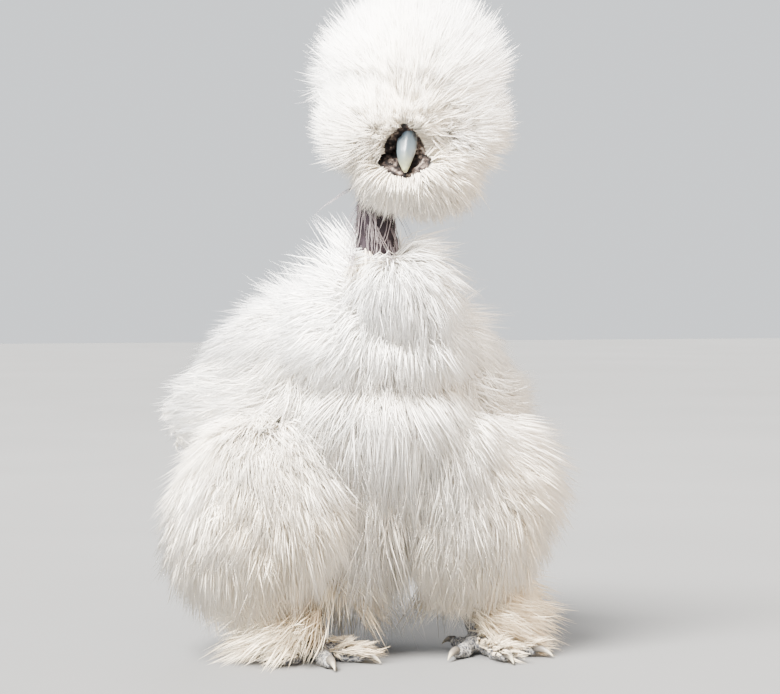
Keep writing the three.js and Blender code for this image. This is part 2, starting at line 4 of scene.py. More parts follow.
import bmesh
import bpy
import numpy as np
from mathutils import Euler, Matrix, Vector

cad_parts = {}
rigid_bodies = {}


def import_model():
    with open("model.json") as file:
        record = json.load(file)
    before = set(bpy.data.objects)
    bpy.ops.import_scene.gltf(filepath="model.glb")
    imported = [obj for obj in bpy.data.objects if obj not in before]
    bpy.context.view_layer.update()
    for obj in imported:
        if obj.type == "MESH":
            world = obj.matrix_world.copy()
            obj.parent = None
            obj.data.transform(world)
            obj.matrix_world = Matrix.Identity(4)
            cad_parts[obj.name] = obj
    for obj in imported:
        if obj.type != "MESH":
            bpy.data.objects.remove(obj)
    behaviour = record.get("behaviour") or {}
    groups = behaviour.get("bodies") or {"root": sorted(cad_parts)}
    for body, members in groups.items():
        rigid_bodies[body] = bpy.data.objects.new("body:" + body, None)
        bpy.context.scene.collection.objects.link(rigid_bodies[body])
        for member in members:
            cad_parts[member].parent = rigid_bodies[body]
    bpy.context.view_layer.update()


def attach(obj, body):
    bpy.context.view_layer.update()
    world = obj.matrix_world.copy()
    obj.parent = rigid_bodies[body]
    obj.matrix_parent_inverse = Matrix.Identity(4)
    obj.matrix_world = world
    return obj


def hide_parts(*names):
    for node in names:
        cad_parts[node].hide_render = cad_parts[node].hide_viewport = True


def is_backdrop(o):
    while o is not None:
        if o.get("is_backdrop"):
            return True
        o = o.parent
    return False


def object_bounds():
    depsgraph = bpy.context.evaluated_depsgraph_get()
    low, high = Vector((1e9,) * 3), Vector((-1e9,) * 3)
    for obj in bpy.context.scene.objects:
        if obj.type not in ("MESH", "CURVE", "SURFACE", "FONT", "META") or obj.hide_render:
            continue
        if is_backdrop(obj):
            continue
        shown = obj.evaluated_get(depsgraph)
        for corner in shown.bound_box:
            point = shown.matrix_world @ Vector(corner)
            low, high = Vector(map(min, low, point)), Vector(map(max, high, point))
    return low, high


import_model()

# The hen's skin runs from the bill to the toes, white under the coat, bare and dark on face, neck and toes.
# Each form is laid down as a closed shell. The shells of the body, of the head with its neck, and of the
# feet are fused and smoothed into three surfaces, which run into each other as the skin of one bird.
MM = 0.001
HEN_AT = np.array((18.0, -45.0, 0.0))
# The trunk leans this far to the hen's right of the middle between its feet.
LEAN = -14
STANCE = 46
FOOT_Y = 24
ANKLE_Z = 9
SIDES = (("right", -1), ("left", 1))


class Egg:
    """A rounded form of the body, turned as it lies there and slimmer towards one end."""

    def __init__(self, at, half, pitch=0, yaw=0, roll=0, slim=0):
        self.at = np.array(at, float)
        self.half = np.array(half, float)
        self.slim = slim
        turn = Euler((math.radians(-pitch), math.radians(roll), math.radians(yaw)), "XYZ")
        self.turn = np.array(turn.to_matrix())

    def surface(self, ways, out):
        """Points of the surface in the given directions, moved outwards."""
        narrow = 1 + self.slim * ways[:, 1:2]
        p = ways * (self.half + out)
        p[:, [0, 2]] *= narrow
        return p @ self.turn.T + self.at

    def distance(self, p, out):
        """About how far each point lies outside the surface, and negative inside it."""
        away = (p - self.at) @ self.turn
        half = self.half + out
        narrow = 1 + self.slim * np.clip(away[:, 1] / half[1], -1, 1)
        q = away / half
        q[:, [0, 2]] /= narrow[:, None]
        r = np.maximum(np.linalg.norm(q, axis=1), 1e-6)
        return (r - 1) / r * np.linalg.norm(away, axis=1)


# How far the skin stands out from the egg of each form. Where it is negative, the skin lies inside.
SKIN_OUT = {"trunk": 8, "saddle": 8, "rump": 8, "tail": 3, "tuft": -1, "wing": 3, "thigh": 4}
SKIN_OUT.update({"crest": -7, "beard": 1, "muff": -2, "apron": 0})
POMPOM_AT = np.array((-9.0, -37.0, 296.0))
BODY = {
    "trunk": Egg((LEAN, 18, 130), (36, 70, 42), pitch=56, slim=0.2),
    "saddle": Egg((LEAN, 68, 140), (40, 40, 36), pitch=24),
    "rump": Egg((LEAN - 2, 72, 94), (44, 34, 34)),
    "tail": Egg((LEAN, 112, 158), (22, 28, 18), pitch=-38),
    "tuft": Egg((LEAN + 1, -30, 198), (17, 13, 19), pitch=15),
}
THIGH_OUT = {-1: 62, 1: 48}
for name, side in SIDES:
    at = (LEAN + side * 55, 44, 146)
    BODY[f"wing_{name}"] = Egg(at, (13, 50, 31), pitch=40, yaw=-side * 16, roll=-side * 20, slim=0.15)
    at = (LEAN + side * THIGH_OUT[side], 20, 88)
    BODY[f"thigh_{name}"] = Egg(at, (26, 38, 36), yaw=-side * 8, pitch=8)
BODY["apron_left"] = Egg((12, -5, 116), (20, 20, 27))
POMPOM = {
    "crest": Egg(POMPOM_AT + (0, 3, 6), (31, 30, 30)),
    "beard": Egg(POMPOM_AT + (-3, -16, -39), (20, 14, 9)),
    "muff_right": Egg(POMPOM_AT + (-25, -8, -15), (13, 16, 17)),
    "muff_left": Egg(POMPOM_AT + (23, -9, -15), (13, 16, 17)),
}
POMPOM_CORE = Egg(POMPOM_AT + (0, 3, -6), (30, 17, 29))
NECK_PATH = (
    (LEAN - 2, -8, 186), (LEAN - 8, -21, 214), (LEAN - 11, -27, 236), (LEAN - 8, -32, 258),
    (LEAN - 3, -40, 280),
)
NECK_BASE = np.array((LEAN - 4.0, -24.0, 214.0))

HEAD_AT = np.array((-16.0, -47.0, 287.0))
HEAD_TURN = np.array(Euler((math.radians(45), 0, math.radians(-12)), "XYZ").to_matrix())


def on_head(points):
    """Places points given as (left, forward, up) from the middle of the skull."""
    p = np.atleast_2d(np.array(points, float)) * (1, -1, 1)
    return p @ HEAD_TURN.T + HEAD_AT


def mesh_of(name, points, faces):
    """A smooth mesh in metres from points in millimetres."""
    mesh = bpy.data.meshes.new(name)
    mesh.from_pydata((np.asarray(points) * MM).tolist(), [], faces)
    mesh.validate()
    mesh.shade_smooth()
    return mesh


def shown(name, mesh):
    piece = bpy.data.objects.new(name, mesh)
    bpy.context.collection.objects.link(piece)
    return piece


def egg_shell(egg, out, fine):
    """An egg's surface as a closed shell of triangles, moved outwards."""
    bm = bmesh.new()
    bmesh.ops.create_icosphere(bm, subdivisions=fine, radius=1)
    ways = np.array([v.co.normalized() for v in bm.verts])
    faces = [[v.index for v in f.verts] for f in bm.faces]
    bm.free()
    return egg.surface(ways, out), faces


def sleeve(rings):
    """A closed skin over rings of points, drawn together to a point at both ends."""
    sides = len(rings[0])
    points = np.concatenate([*rings, [rings[0].mean(0)], [rings[-1].mean(0)]])
    faces = []
    for i in range(len(rings) - 1):
        for j in range(sides):
            k = (j + 1) % sides
            faces.append([i * sides + j, i * sides + k, (i + 1) * sides + k, (i + 1) * sides + j])
    last = (len(rings) - 1) * sides
    for j in range(sides):
        k = (j + 1) % sides
        faces.append([last + sides, k, j])
        faces.append([last + sides + 1, last + j, last + k])
    return points, faces


def curve_through(path, count):
    """Evenly spaced points on a smooth curve through the given ones."""
    p = np.array(path, float)
    p = np.vstack([2 * p[0] - p[1], p, 2 * p[-1] - p[-2]])
    fine = []
    for i in range(1, len(p) - 2):
        for t in np.linspace(0, 1, 24, endpoint=i == len(p) - 3):
            a, b, c, d = p[i - 1 : i + 3]
            point = 2 * b + (c - a) * t
            point = point + (2 * a - 5 * b + 4 * c - d) * t**2
            point = point + (3 * b - a - 3 * c + d) * t**3
            fine.append(0.5 * point)
    fine = np.array(fine)
    run = np.concatenate([[0], np.cumsum(np.linalg.norm(np.diff(fine, axis=0), axis=1))])
    at = np.linspace(0, run[-1], count)
    return np.stack([np.interp(at, run, fine[:, k]) for k in range(3)], 1)


def bar(path, radius, steps=40, sides=24):
    """A closed round bar along a path, with its radius given for each share of the way."""
    centres = curve_through(path, steps)
    ahead = np.gradient(centres, axis=0)
    ahead /= np.linalg.norm(ahead, axis=1, keepdims=True)
    across = np.cross(ahead, (0.01, 0.02, 1.0))
    across /= np.linalg.norm(across, axis=1, keepdims=True)
    up = np.cross(across, ahead)
    turn = np.linspace(0, 2 * math.pi, sides, endpoint=False)
    rings = []
    for i, t in enumerate(np.linspace(0, 1, steps)):
        around = np.outer(np.cos(turn), across[i]) + np.outer(np.sin(turn), up[i])
        rings.append(centres[i] + radius(t) * around)
    return sleeve(rings)


def ovals(rows, sides=28, steps=36):
    """A closed row of ovals along the head, each row given as forward, up, half width, half height."""
    rows = np.array(rows, float)
    run = np.linspace(0, 1, len(rows))
    at = np.linspace(0, 1, steps)
    smooth = np.stack([np.interp(at, run, rows[:, k]) for k in range(4)], 1)
    for _ in range(3):
        smooth[1:-1] = (smooth[:-2] + 2 * smooth[1:-1] + smooth[2:]) / 4
    turn = np.linspace(0, 2 * math.pi, sides, endpoint=False)
    rings = []
    for forward, up, wide, high in smooth:
        ring = np.stack([wide * np.cos(turn), np.full(sides, forward), up + high * np.sin(turn)], 1)
        rings.append(on_head(ring))
    return sleeve(rings)


SKULL = (
    (-21, 1, 1, 1), (-19, 1, 8, 8.5), (-13, 1, 12.5, 13), (-4, 1, 14.5, 15),
    (5, 0, 13.5, 13.5), (13, -1.5, 9.5, 10), (20, -2, 6, 7), (21, -2, 1, 1),
)
COMB_BULBS = (
    (-3.2, 14, 7.6, 3.4), (3.2, 14, 7.6, 3.4), (0.5, 10.6, 10, 3.4), (-1.2, 17.4, 5.6, 2.6),
    (1.6, 17.6, 5.8, 2.4), (-5.4, 11.2, 8.2, 2.4), (5.6, 11, 8.4, 2.3),
)
FACE_LOBES = (
    (-7.6, 15, 1.5, 2.6), (7.6, 15, 1.5, 2.6), (-8.8, 11.5, -2.5, 3), (8.8, 11.5, -2.5, 3),
    (-6.8, 18.5, -2.5, 2.2), (6.8, 18.5, -2.5, 2.2), (-6.2, 16.5, 5, 2), (6.2, 16.5, 5, 2),
)
WATTLE_BULBS = (
    (8.4, 17.5, -8.5, 4.6), (7.4, 19.5, -11.5, 3.8), (9.6, 14.5, -6.5, 3.6), (6.6, 20.5, -7, 2.6),
)
LID_AT = (12.5, 5, 3.5)
LID_RADIUS = 4.2
LID_THICK = 1.1
LID_STEPS = 32
LID_SIDES = 10


def neck_radius(t):
    """The neck widens towards the shoulders and is ringed with fine folds."""
    return 9.5 + 8 * (1 - t) ** 4 + 0.5 * math.sin(t * 70)


head_shells = [ovals(SKULL)]
for left, forward, up, radius in COMB_BULBS + FACE_LOBES:
    head_shells.append(egg_shell(Egg(on_head((left, forward, up))[0], (radius,) * 3), 0, 3))
for _, side in SIDES:
    for left, forward, up, radius in WATTLE_BULBS:
        lobe = Egg(on_head((side * left, forward, up))[0], (radius * 0.8, radius, radius), pitch=-30)
        head_shells.append(egg_shell(lobe, 0, 3))
    tube = np.linspace(0, 2 * math.pi, LID_SIDES, endpoint=False)
    r = LID_RADIUS + LID_THICK * np.cos(tube)
    left = side * LID_AT[0] + LID_THICK * np.sin(tube)
    lid = []
    for u in np.linspace(0, 2 * math.pi, LID_STEPS, endpoint=False):
        forward = LID_AT[1] + r * math.cos(u) * 1.1
        up = LID_AT[2] + r * math.sin(u) * 0.92
        lid.append(on_head(np.stack([left, forward, up], 1)))
    faces = []
    for i in range(LID_STEPS):
        a, b = i * LID_SIDES, (i + 1) % LID_STEPS * LID_SIDES
        for j in range(LID_SIDES):
            k = (j + 1) % LID_SIDES
            faces.append([a + j, a + k, b + k, b + j])
    head_shells.append((np.concatenate(lid), faces))
for name, egg in POMPOM.items():
    head_shells.append(egg_shell(egg, SKIN_OUT[name.split("_")[0]], 4))
head_shells.append(egg_shell(POMPOM_CORE, 0, 4))
head_shells.append(bar(NECK_PATH, neck_radius))

body_shells = [egg_shell(egg, SKIN_OUT[name.split("_")[0]], 5) for name, egg in BODY.items()]
body_shells.append(bar((NECK_PATH[0], (LEAN - 3, -12, 196)), lambda t: 20 - 5 * t, 12))

# Each toe's heading in degrees from straight ahead, its length, its radius and how far its end is lifted.
TOES = {
    "inner": (-38, 34, 4.4, 0), "middle": (2, 45, 4.8, 0), "outer": (40, 36, 4.4, 0),
    "hind": (208, 21, 3.9, 0), "fifth": (176, 20, 3.5, 13),
}
TOE_Z = 3.6
HOCK = (40, 42, 58)


def heading(side, degrees):
    return np.array((side * math.sin(math.radians(degrees)), -math.cos(math.radians(degrees)), 0.0))


def toe_path(side, turn, length, lift):
    way = heading(side, turn)
    start = np.array((side * STANCE, FOOT_Y, ANKLE_Z), float)
    low = ANKLE_Z - 1 if lift else TOE_Z
    path = [start]
    for share, z in ((0.3, low + 1.6), (0.65, low + lift * 0.35), (1.0, low + lift)):
        point = start + way * length * share
        point[2] = z
        path.append(point)
    return path


def shank_path(side):
    return (side * STANCE, FOOT_Y, ANKLE_Z), (side * 43, 33, 28), (side * HOCK[0], HOCK[1], HOCK[2])


def knuckled(radius):
    """A toe's radius along its length: swollen at its joints and rounded off at its end."""

    def thick(t):
        joints = 1 + 0.09 * math.cos(t * 18.85)
        return radius * (1.08 - 0.28 * t) * joints * math.sqrt(1 - 0.75 * t**12)

    return thick


foot_shells = []
for _, side in SIDES:
    for turn, length, radius, lift in TOES.values():
        path = toe_path(side, turn, length, lift)
        foot_shells.append(bar(path, knuckled(radius), 40, 20))
        if not lift:
            pad = Egg(path[2] - (0, 0, 0.6), (radius, radius * 1.2, radius * 0.9))
            foot_shells.append(egg_shell(pad, 0, 3))
    foot_shells.append(bar(shank_path(side), lambda t: 5.6 + 2.2 * t, 24, 20))


def fused(shells, voxel, smoothing):
    """One closed surface over all the shells, as points in millimetres and four-sided faces."""
    points, faces, count = [], [], 0
    for shell, around in shells:
        points.append(shell)
        faces += [[i + count for i in f] for f in around]
        count += len(shell)
    raw = shown("shells", mesh_of("shells", np.concatenate(points), faces))
    remesh = raw.modifiers.new("one surface", "REMESH")
    remesh.mode = "VOXEL"
    remesh.voxel_size = voxel * MM
    ease = raw.modifiers.new("ease", "SMOOTH")
    ease.factor = 0.5
    ease.iterations = smoothing
    mesh = bpy.data.meshes.new_from_object(raw.evaluated_get(bpy.context.evaluated_depsgraph_get()))
    co = np.empty(len(mesh.vertices) * 3)
    mesh.vertices.foreach_get("co", co)
    polygons = [list(p.vertices) for p in mesh.polygons]
    bpy.data.objects.remove(raw)
    bpy.data.meshes.remove(mesh)
    return co.reshape(-1, 3) / MM, polygons


BODY_VOXEL = 2.6
FINE_VOXEL = 0.95
parts = [
    fused(body_shells, BODY_VOXEL, 6), fused(head_shells, FINE_VOXEL, 2), fused(foot_shells, FINE_VOXEL, 2),
]
skin_points = np.concatenate([points for points, _ in parts])
skin_faces = []
part_of = np.repeat(range(len(parts)), [len(points) for points, _ in parts])
count = 0
for points, faces in parts:
    skin_faces += [[i + count for i in f] for f in faces]
    count += len(points)
of_body = part_of == 0
of_head = part_of == 1
of_foot = part_of == 2

# A fold runs across the breast, where the crop hangs over the belly.
FOLD_Z = 154
FOLD_HALF = 9
FOLD_DEPTH = 10
groove = np.exp(-(((skin_points[:, 2] - FOLD_Z) / FOLD_HALF) ** 2))
groove *= np.clip((24 - skin_points[:, 1]) / 20, 0, 1)
skin_points[:, 1] += FOLD_DEPTH * groove * of_body * (abs(skin_points[:, 0] - LEAN) < 44)
# The toes' undersides are flat, just clear of the floor.
skin_points[:, 2] = np.maximum(skin_points[:, 2], 0.05)
skin_mesh = mesh_of("hen_skin", skin_points + HEN_AT, skin_faces)
hen_skin = shown("hen_skin", skin_mesh)

# The skin is unwrapped once, and every tuft of the coat takes its root's place in this map.
bpy.context.view_layer.objects.active = hen_skin
hen_skin.select_set(True)
skin_mesh.uv_layers.new(name="OFBake")
bpy.ops.object.mode_set(mode="EDIT")
bpy.ops.mesh.select_all(action="SELECT")
bpy.ops.uv.smart_project(angle_limit=math.radians(70), island_margin=0.003)
bpy.ops.object.mode_set(mode="OBJECT")
hen_skin.select_set(False)

normals = np.empty(len(skin_points) * 3)
skin_mesh.vertices.foreach_get("normal", normals)
normals = normals.reshape(-1, 3)

# Each point of the skin belongs to the form whose surface is nearest, or to a toe or a shank.
FORMS = {**BODY, **POMPOM}
FAR = 1e3
depths = np.stack([egg.distance(skin_points, SKIN_OUT[n.split("_")[0]]) for n, egg in FORMS.items()], 1)
depths[:, : len(BODY)][~of_body] = FAR
depths[:, len(BODY) :][~of_head] = FAR
form_of = np.array(list(FORMS))[depths.argmin(1)]
nearest = depths.min(1)
form_of[of_foot] = "foot"
foot_runs, foot_names = [], []
for name, side in SIDES:
    for toe, sizes in TOES.items():
        foot_names.append(f"{toe}_{name}")
        foot_runs.append(curve_through(toe_path(side, sizes[0], sizes[1], sizes[3]), 24))
    foot_names.append(f"shank_{name}")
    foot_runs.append(curve_through(shank_path(side), 24))
gaps = np.stack([
    np.linalg.norm(skin_points[of_foot][:, None] - run[None], axis=2).min(1) for run in foot_runs
], 1)
form_of[of_foot] = np.array(foot_names)[gaps.argmin(1)]

# The bare face is a kite round the bill, widest beside its tip and with the longer point above it.
BOWL_WAY = np.array((-0.2, -0.97, 0.0)) / math.hypot(0.2, 0.97)
FACE_FRONT = on_head((0, 26, -6))[0]
from_face = skin_points - FACE_FRONT
ahead = from_face @ BOWL_WAY
from_axis = from_face - ahead[:, None] * BOWL_WAY
KITE = 1.35
above_bill = from_axis[:, 2] + 3.5
above_bill *= np.where(above_bill < 0, 1.65, 0.67)
beside = (np.hypot(from_axis[:, 0], from_axis[:, 1]) ** KITE + abs(above_bill) ** KITE) ** (1 / KITE)
face_bare = of_head & (ahead > -34) & (beside < 12.8)

# The bare neck starts above a slanting border, under which its foot carries the breast tuft.
neck_run = curve_through(NECK_PATH, 60)
off_neck = np.linalg.norm(skin_points[:, None] - neck_run[None, ::3], axis=2).min(1)
outside_forms = of_head & (nearest > 1.2)
neck_bare = outside_forms & (off_neck < 17) & (skin_points[:, 2] < 264)
neck_bare &= skin_points[:, 2] > 208 + 0.8 * abs(skin_points[:, 0] + 21)
neck_foot = outside_forms & (off_neck < 19) & (skin_points[:, 2] < 236) & ~neck_bare
form_of[neck_foot] = "tuft"


def float_layer(mesh, name, values):
    """Keeps one number for each point of a mesh, for the coat and the materials to read."""
    layer = mesh.attributes.new(name, "FLOAT", "POINT")
    layer.data.foreach_set("value", np.asarray(values, np.float32))


edges = np.empty(len(skin_mesh.edges) * 2, int)
skin_mesh.edges.foreach_get("vertices", edges)
edges = edges.reshape(-1, 2)
links = np.bincount(edges.ravel(), minlength=len(skin_points))[:, None]


def eased(values, times):
    """Values spread evenly over neighbouring points of the skin."""
    values = np.array(values, float).reshape(len(skin_points), -1)
    for _ in range(times):
        total = values.copy()
        for a, b in ((0, 1), (1, 0)):
            for k in range(values.shape[1]):
                total[:, k] += np.bincount(edges[:, a], values[edges[:, b], k], len(skin_points))
        values = total / (links + 1)
    return values


# The bare face sinks in around the bill and is pebbled all over with small lobes.
sunk = np.clip(eased(face_bare, 4)[:, 0], 0, 1) * ((nearest < 1.2) & of_head)
waves = [np.sin(skin_points @ way) for way in ((1.9, 0.7, 1.1), (-0.6, 1.3, 1.9), (1.2, -1.6, 0.8))]
pebble = waves[0] * waves[1] * waves[2]
skin_points -= (sunk * np.clip(13 - beside, 0, 13) * 0.5)[:, None] * BOWL_WAY
skin_points += (eased(face_bare, 2)[:, 0] * pebble * 1.3)[:, None] * normals
skin_mesh.vertices.foreach_set("co", ((skin_points + HEN_AT) * MM).ravel())
skin_mesh.update()
float_layer(skin_mesh, "bare_face", np.clip(eased(face_bare, 5)[:, 0] * 4, 0, 1))
float_layer(skin_mesh, "bare_neck", np.clip(eased(neck_bare, 6)[:, 0] * 6, 0, 1))
# A cream tint, partly soiling and partly painted warm shade: strongest low on the body, round the face and
# low on the pompom, where shade falls.
warmth = np.interp(skin_points[:, 2], (55, 150, 200), (0.85, 0.30, 0.05))
warmth[of_head] = np.interp(beside[of_head], (12, 42), (0.75, 0.1)) * (ahead[of_head] > -60)
warmth[of_head] = np.maximum(warmth[of_head], np.interp(skin_points[of_head][:, 2], (250, 290), (0.7, 0.0)))
float_layer(skin_mesh, "warmth", eased(warmth, 6)[:, 0])
float_layer(skin_mesh, "bare_foot", eased(of_foot, 1)[:, 0])


class Nodes:
    """Makes and links the nodes of one material or geometry tree."""

    def __init__(self, tree):
        self.tree = tree

    def add(self, kind, feeds=None, out=0, **settings):
        node = self.tree.nodes.new(kind)
        for key, value in settings.items():
            setattr(node, key, value)
        for socket, value in (feeds or {}).items():
            target = node.inputs[socket]
            if isinstance(value, bpy.types.NodeSocket):
                self.tree.links.new(value, target)
            else:
                target.default_value = value
        return node.outputs[out] if node.outputs else None


def finish_named(name, **constant):
    """A new material with its Principled shader's constant sockets set."""
    material = bpy.data.materials.new(name)
    material.use_nodes = True
    shader = material.node_tree.nodes["Principled BSDF"]
    for key, value in constant.items():
        shader.inputs[key.replace("_", " ")].default_value = value
    return material, shader, Nodes(material.node_tree)


def ramp(nodes, value, stops):
    """Colours along a value from 0 to 1."""
    out = nodes.add("ShaderNodeValToRGB", {0: value})
    bar_of = out.node.color_ramp
    while len(bar_of.elements) < len(stops):
        bar_of.elements.new(0.5)
    for element, (at, color) in zip(bar_of.elements, stops):
        element.position = at
        element.color = (*color, 1)
    return out


def mixed(nodes, share, a, b):
    """A colour between two others."""
    out = nodes.add("ShaderNodeMix", {0: share}, out=2, data_type="RGBA")
    for socket, value in ((6, a), (7, b)):
        if isinstance(value, bpy.types.NodeSocket):
            nodes.tree.links.new(value, out.node.inputs[socket])
        else:
            out.node.inputs[socket].default_value = (*value, 1)
    return out


def named(nodes, name):
    """A layer of the mesh, read in a material."""
    return nodes.add("ShaderNodeAttribute", out=2, attribute_name=name)


skin_finish, shader, nodes = finish_named("hen_skin", Roughness=0.66, Specular_IOR_Level=0.12)
place = nodes.add("ShaderNodeTexCoord", out=3)
fine = nodes.add("ShaderNodeTexNoise", {"Vector": place, "Scale": 900.0, "Detail": 4.0})
broad = nodes.add("ShaderNodeTexNoise", {"Vector": place, "Scale": 130.0, "Detail": 5.0})
scutes = nodes.add("ShaderNodeTexVoronoi", {"Vector": place, "Scale": 420.0}, feature="DISTANCE_TO_EDGE")
down = ramp(nodes, broad, ((0.3, (0.78, 0.71, 0.58)), (0.7, (0.90, 0.86, 0.77))))
mottle = nodes.add("ShaderNodeTexNoise", {"Vector": place, "Scale": 330.0, "Detail": 6.0})
face = ramp(nodes, mottle, (
    (0.40, (0.002, 0.0015, 0.0015)), (0.50, (0.012, 0.008, 0.007)),
    (0.58, (0.055, 0.04, 0.032)), (0.68, (0.22, 0.18, 0.15)),
))
neck = ramp(nodes, broad, ((0.3, (0.010, 0.007, 0.009)), (0.75, (0.036, 0.027, 0.032))))
scale_color = ramp(nodes, scutes, (
    (0.0, (0.34, 0.32, 0.28)), (0.12, (0.12, 0.12, 0.125)), (0.5, (0.05, 0.053, 0.06)),
))
color = mixed(nodes, named(nodes, "bare_face"), down, face)
color = mixed(nodes, named(nodes, "bare_neck"), color, neck)
color = mixed(nodes, named(nodes, "bare_foot"), color, scale_color)
nodes.tree.links.new(color, shader.inputs["Base Color"])
relief = nodes.add("ShaderNodeBump", {"Strength": 0.5, "Distance": 0.0006, "Height": fine})
scaled = nodes.add("ShaderNodeMath", {0: scutes, 1: named(nodes, "bare_foot")}, operation="MULTIPLY")
relief = nodes.add("ShaderNodeBump", {
    "Strength": 0.8, "Distance": 0.002, "Height": scaled, "Normal": relief,
})
nodes.tree.links.new(relief, shader.inputs["Normal"])
skin_mesh.materials.append(skin_finish)

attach(hen_skin, "root")
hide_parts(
    "head", "comb", "wattle_right", "wattle_left", "neck", "crest", "beard", "muff_right",
    "muff_left", "torso", "thigh_right", "thigh_left", "wing_right", "wing_left", "tail", "breast_tuft",
    "shank_right", "shank_left", "foot_right", "foot_left",
)

# The bill is two halves of horn over bone, slate blue and paler at the tip, growing out of the face.
# The upper half curves down over the shorter lower one, with a nostril on each side.
UPPER_BILL = (
    (9, 0.2, 3.6, 3.2), (11, 0.2, 4.0, 3.5), (17, 0.6, 4.6, 3.8), (24, 0.4, 5.1, 3.8),
    (30, -1.1, 4.7, 3.2), (34.5, -3.4, 3.1, 2.5), (37.8, -6.0, 1.0, 1.0),
)
LOWER_BILL = (
    (9, -6.8, 4.2, 2), (11, -6.8, 4.6, 2.2), (17, -6.7, 4.3, 2.1), (24, -6.5, 3.5, 1.8),
    (30, -6.9, 2.3, 1.4), (34, -8, 0.7, 0.5),
)
BILL_TIP = 37.8
NOSTRIL_FORWARD = 20.5
NOSTRIL_UP = 2.2
NOSTRIL_DEPTH = 1.5
BASE_SHIFT = 2.4

horn, shader, nodes = finish_named("bill_horn", Roughness=0.34)
place = nodes.add("ShaderNodeTexCoord", out=3)
streaks = nodes.add("ShaderNodeTexNoise", {"Vector": place, "Scale": 260.0, "Detail": 4.0})
tip_share = named(nodes, "to_tip")
tip_share = nodes.add("ShaderNodeMath", {0: tip_share, 1: 0.86}, operation="MULTIPLY")
blend = nodes.add("ShaderNodeMath", {0: streaks, 1: 0.2, 2: tip_share}, operation="MULTIPLY_ADD")
color = ramp(nodes, blend, (
    (0.1, (0.014, 0.017, 0.021)), (0.45, (0.024, 0.034, 0.043)), (0.75, (0.042, 0.058, 0.066)),
    (0.88, (0.12, 0.13, 0.09)), (0.97, (0.30, 0.30, 0.16)),
))
nodes.tree.links.new(color, shader.inputs["Base Color"])
relief = nodes.add("ShaderNodeBump", {"Strength": 0.25, "Distance": 0.0004, "Height": streaks})
nodes.tree.links.new(relief, shader.inputs["Normal"])
for name, rows in (("bill_upper", UPPER_BILL), ("bill_lower", LOWER_BILL)):
    points, faces = ovals(rows, 32, 40)
    local = (points - HEAD_AT) @ HEAD_TURN
    forward = -local[:, 1]
    if name == "bill_upper":
        ridge = np.exp(-((local[:, 0] / 1.3) ** 2)) * (local[:, 2] > np.interp(forward, (11, 39), (0, -7)))
        local[:, 2] += 0.55 * ridge * np.clip((39 - forward) / 8, 0, 1)
        for side in (-1, 1):
            ahead_of, above = forward - NOSTRIL_FORWARD, local[:, 2] - NOSTRIL_UP
            hole = np.exp(-((ahead_of / 2.0) ** 2) - (above / 0.9) ** 2)
            hole *= np.sign(local[:, 0]) == side
            local[:, 0] -= side * NOSTRIL_DEPTH * hole
        points = local @ HEAD_TURN.T + HEAD_AT
    points = points + np.outer(BASE_SHIFT * np.clip((34 - forward) / 20, 0, 1), HEAD_TURN[:, 0])
    mesh = mesh_of(name + "_horn", points + HEN_AT, faces)
    float_layer(mesh, "to_tip", np.clip((forward - 12) / (BILL_TIP - 12), 0, 1))
    mesh.materials.append(horn)
    bill = shown(name + "_horn", mesh)
    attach(bill, "root")
    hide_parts(name)

# Each eye is a wet black ball with a dark brown iris under a clear bulge.
# It sits deep between the lids of the skin, which hold it in place.
EYE_RADIUS = 4.3
EYE_AT = (10.4, 5, 3.5)
iris, shader, nodes = finish_named("eye_black", Roughness=0.06, Coat_Weight=0.6, Coat_Roughness=0.03)
color = ramp(nodes, named(nodes, "to_pupil"), (
    (0.0, (0.02, 0.012, 0.01)), (0.45, (0.07, 0.028, 0.014)), (0.62, (0.004, 0.004, 0.004)),
))
nodes.tree.links.new(color, shader.inputs["Base Color"])
for name, side in SIDES:
    points, faces = egg_shell(Egg((0, 0, 0), (EYE_RADIUS,) * 3), 0, 5)
    to_pupil = np.clip((points[:, 0] * side / EYE_RADIUS - 0.55) / 0.45, 0, 1)
    points[:, 0] += side * 0.35 * np.clip(to_pupil * 2, 0, 1)
    points = on_head(points * (1, -1, 1) + (side * EYE_AT[0], EYE_AT[1], EYE_AT[2]))
    mesh = mesh_of(f"eye_{name}_bead", points + HEN_AT, faces)
    float_layer(mesh, "to_pupil", to_pupil)
    mesh.materials.append(iris)
    eye = shown(f"eye_{name}_bead", mesh)
    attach(eye, "root")
    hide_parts(f"eye_{name}")

# Claws are curved horn sheaths, grey-brown with pale tips, one grown over the end of each toe.
# The shorter toes behind carry shorter ones, and the fifth toe's points up, clear of the floor.
CLAW_LENGTH = 13
CLAW_SIDES = 20


def on_bend(a, b, c, t):
    """The point a share t along a bend from a to c that leans towards b."""
    return (1 - t) ** 2 * a + 2 * t * (1 - t) * b + t * t * c


